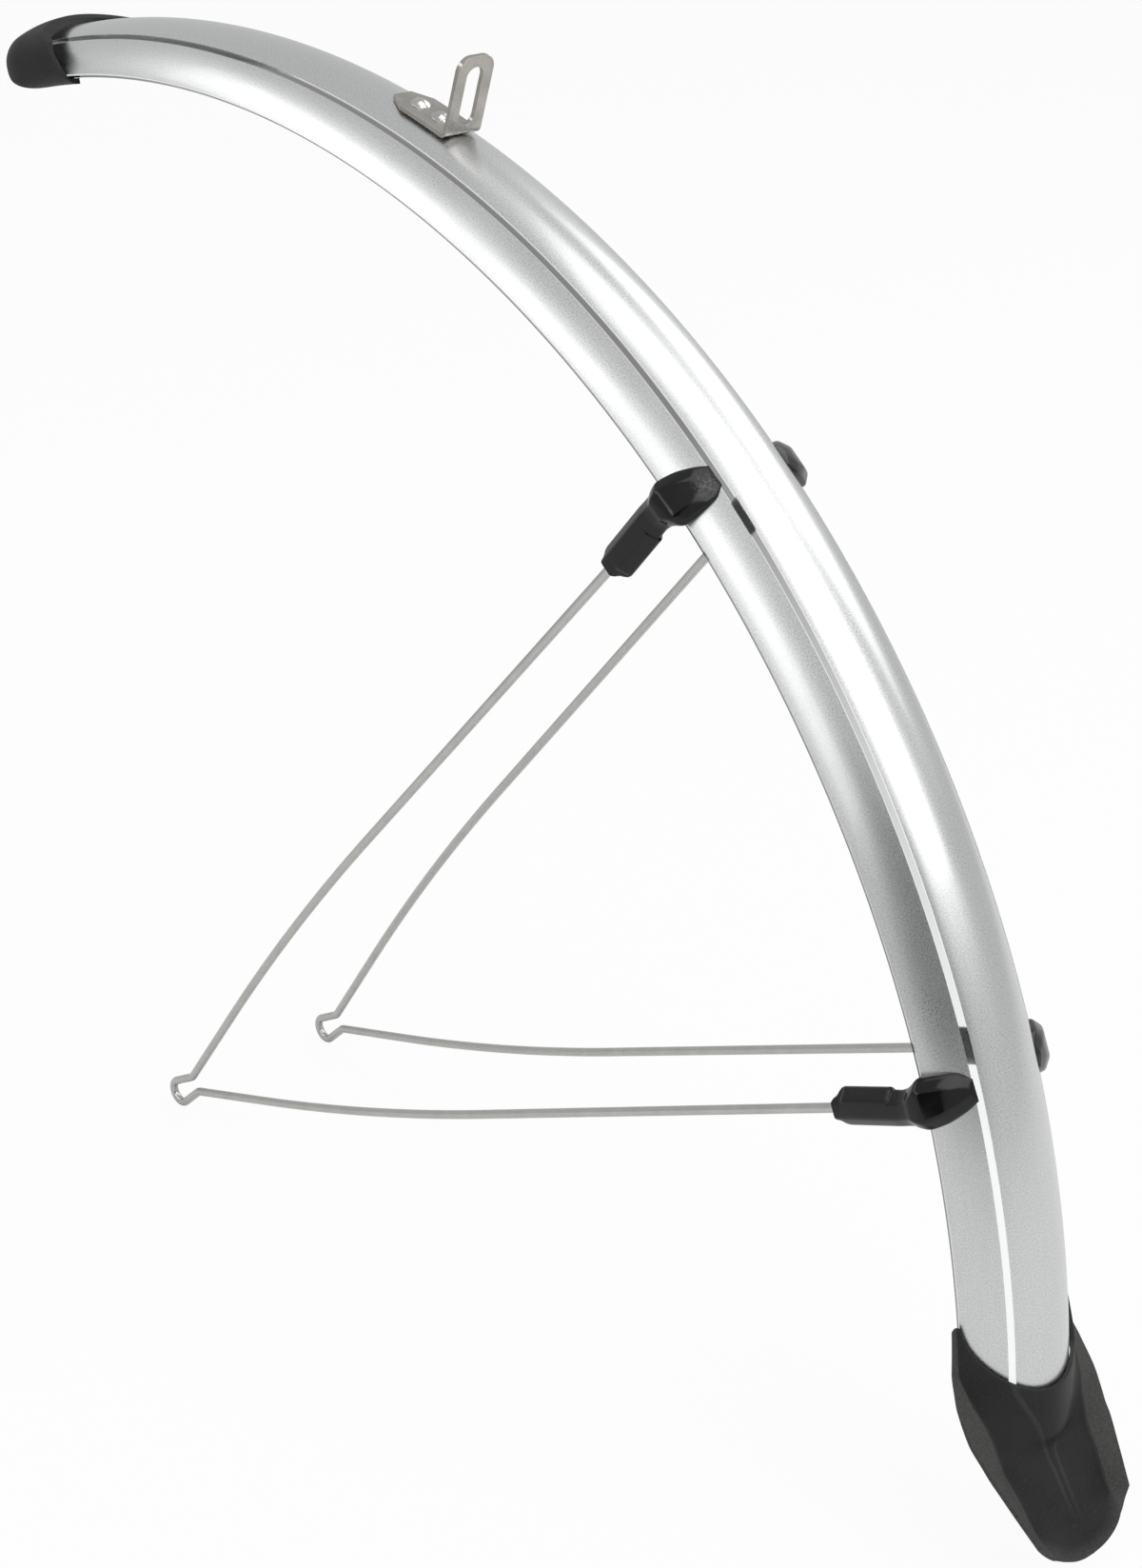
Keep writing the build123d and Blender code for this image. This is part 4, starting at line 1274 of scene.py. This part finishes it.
@dataclass
class Studio:
    """Floor, light and camera.

    The floor's glow is the share of plain white in what the camera sees of it. The dark card has a
    direction and a distance from the object, and a size.
    """

    floor_height: float = -0.3876
    floor_size: float = 6.0
    floor_color: Triple = (0.74, 0.74, 0.735)
    floor_glow: float = 0.93
    camera_at: Triple = (0.6344, -0.5544, 0.1644)
    right: Triple = (0.6848, 0.7288, 0.0)
    forward: Triple = (-0.6622, 0.6222, -0.4177)
    lens: float = 65.26
    sensor: float = 36.0
    target: Triple = (0.06, 0.0, -0.15)
    surroundings: float = 0.6
    lamps: tuple[Softbox, ...] = (
        Softbox("rear_softbox", (0.75, 0.03, 0.66), 1.7, (1.35, 1.4), 1.9),
        Softbox("top_softbox", (0.2, 0.08, 0.97), 1.8, (1.2, 1.1), 1.35),
        Softbox("front_strip", (-0.36, -0.68, 0.635), 1.6, (2.2, 0.36), 1.75),
        Softbox("left_strip", (0.33, -0.86, 0.395), 1.6, (0.78, 0.36), 1.75, -49.0),
        Softbox("back_softbox", (0.1, 0.79, 0.6), 1.8, (1.5, 1.1), 1.35))
    card: tuple[Triple, float, float] = ((0.74, -0.66, 0.1), 1.9, 1.2)

    def camera(self) -> None:
        """Camera at the photograph's place, with its long side as the sensor's width."""
        data = bpy.data.cameras.new("camera")
        data.lens, data.sensor_width, data.sensor_fit = self.lens, self.sensor, "AUTO"
        data.clip_start, data.clip_end = 0.01, 50.0
        obj = link("camera", data)
        ahead = Vector(self.forward).normalized()
        right = Vector(self.right).normalized()
        up = right.cross(ahead).normalized()
        turn = Matrix((right, up, -ahead)).transposed().to_4x4()
        obj.matrix_world = Matrix.Translation(self.camera_at) @ turn
        bpy.context.scene.camera = obj

    def floor(self) -> None:
        """Pale floor that stays nearly white to the eye and keeps a faint shadow."""
        half = self.floor_size / 2
        corners = [(-half, -half), (half, -half), (half, half), (-half, half)]
        mesh = bpy.data.meshes.new("floor")
        mesh.from_pydata([(x, y, self.floor_height) for x, y in corners], [], [(0, 1, 2, 3)])
        obj = link("floor", mesh)
        g = Graph("floor_white", self.floor_color, Roughness=0.9, Specular_IOR_Level=0.0)
        glow = g.add("Emission", Color=(1.0, 1.0, 1.0, 1.0), Strength=1.0)
        mix = g.add("MixShader")
        g.put(mix.inputs["Fac"], g.math("MULTIPLY", self.seen(g.tree), self.floor_glow))
        g.put(mix.inputs[1], g.shader.outputs["BSDF"])
        g.put(mix.inputs[2], glow.outputs["Emission"])
        g.put(g.tree.nodes["Material Output"].inputs["Surface"], mix.outputs["Shader"])
        mesh.materials.append(g.material)

    @staticmethod
    def seen(tree: bpy.types.NodeTree) -> Socket:
        """1 for rays that show the white background, which are camera and transmission rays.

        Args:
            tree: node tree of the floor's material or the world.

        Returns:
            The socket that says so.
        """
        path = tree.nodes.new("ShaderNodeLightPath")
        most = tree.nodes.new("ShaderNodeMath")
        most.operation = "MAXIMUM"
        tree.links.new(path.outputs["Is Camera Ray"], most.inputs[0])
        tree.links.new(path.outputs["Is Transmission Ray"], most.inputs[1])
        return most.outputs[0]

    def world(self) -> None:
        """White surroundings, with a lower level for the light that they give and in gloss."""
        world = bpy.data.worlds.new("white_room")
        bpy.context.scene.world = world
        world.use_nodes = True
        tree = world.node_tree
        strength = tree.nodes.new("ShaderNodeMapRange")
        strength.inputs["To Min"].default_value = self.surroundings
        strength.inputs["To Max"].default_value = 1.0
        tree.links.new(self.seen(tree), strength.inputs["Value"])
        back = tree.nodes["Background"]
        back.inputs["Color"].default_value = (1.0, 1.0, 1.0, 1.0)
        tree.links.new(strength.outputs["Result"], back.inputs["Strength"])

    def dark_card(self) -> None:
        """Dark card behind the camera, seen only in gloss, which gives metal its contrast."""
        toward, away, size = self.card
        way = Vector(toward).normalized()
        across = way.cross(Vector((0, 0, 1))).normalized() * size / 2
        up = across.normalized().cross(way).normalized() * size / 2
        middle = Vector(self.target) + way * away
        steps = (-across - up, across - up, across + up, up - across)
        mesh = bpy.data.meshes.new("dark_card")
        mesh.from_pydata([tuple(middle + step) for step in steps], [], [(0, 1, 2, 3)])
        obj = link("dark_card", mesh)
        for ray in ("camera", "diffuse", "transmission", "shadow"):
            setattr(obj, "visible_" + ray, False)
        mesh.materials.append(Graph("card_black", (0.05, 0.05, 0.05), Roughness=1.0).material)

    def build(self) -> None:
        """Sets up the whole studio."""
        bpy.context.scene.view_settings.view_transform = "Standard"
        self.camera()
        self.floor()
        self.world()
        for lamp in self.lamps:
            lamp.build(Vector(self.target))
        self.dark_card()


def dress(node: str, material: bpy.types.Material) -> None:
    """Gives a CAD node its finish.

    Args:
        node: name of the node.
        material: the finish.
    """
    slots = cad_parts[node].data.materials
    slots.clear()
    slots.append(material)


def finishes(form: BladeForm) -> dict[str, bpy.types.Material]:
    """Makes every finish.

    Args:
        form: section of the blade, which places the painted shade in its clear plastic.

    Returns:
        The materials by node name.
    """
    clear = ClearPlastic(line_reach=form.line_reach * MM, edge_reach=form.edge_reach * MM)
    # The flap's facets get painted light, a paler colour where the light falls on them.
    flap = BlackMoulding("flap_black", (0.011, 0.0113, 0.0112), lit_facet_color=(0.06, 0.061, 0.058))
    wear_and_highlight = ClipPlastic("clip_plastic_worn", scuff_at=(0.116, -0.0165, -0.0885))
    wire = BareMetal("stay_wire", (0.57, 0.565, 0.55), 0.21, Grain.DRAWN, 0.00001, 0.3, 0.0)
    nodes = {
        clear: ("blade",),
        SilverFoil(): ("foil_crown", "foil_flank_left", "foil_flank_right"),
        BlackMoulding(): ("front_cap",),
        flap: ("mud_flap",),
        ClipPlastic(): ("clip_lower_left", "clip_lower_right", "clip_upper_right"),
        wear_and_highlight: ("clip_upper_left",),
        wire: ("stay_left", "stay_right"),
        BareMetal("steel_sheet", (0.5, 0.48, 0.45), 0.25, Grain.ROLLED): ("crown_bracket",),
        BareMetal("rivet_steel", (0.66, 0.65, 0.63), 0.12, Grain.TURNED): ("bracket_rivets",),
        BareMetal("washer_steel", (0.6, 0.6, 0.59), 0.25, Grain.TURNED): ("rivet_washers",),
        BareMetal("screw_steel", (0.5, 0.5, 0.5), 0.25, Grain.TURNED): ("clip_screws",),
    }
    made = {}
    for finish, names in nodes.items():
        made.update(dict.fromkeys(names, finish.make()))
    return made


def main() -> None:
    """Builds every sub-assembly in order and reports its pieces."""
    logging.basicConfig(level=logging.INFO, format="%(name)s: %(message)s")
    Studio().build()
    form = BladeForm()
    clips = StayClips(form)
    pieces = {**Blade(form).build(), "mud_flap": Flap(form).build(), **clips.build(),
              **Stays(**clips.clips()).build()}
    materials = finishes(form)
    for node, piece in pieces.items():
        piece.data.materials.append(materials[node])
        LOG.info("%s stands for %s", piece.name, node)
    for node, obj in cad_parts.items():
        if not obj.hide_render:
            dress(node, materials[node])
            LOG.info("%s keeps its solid", node)


if __name__ == "__main__":
    main()
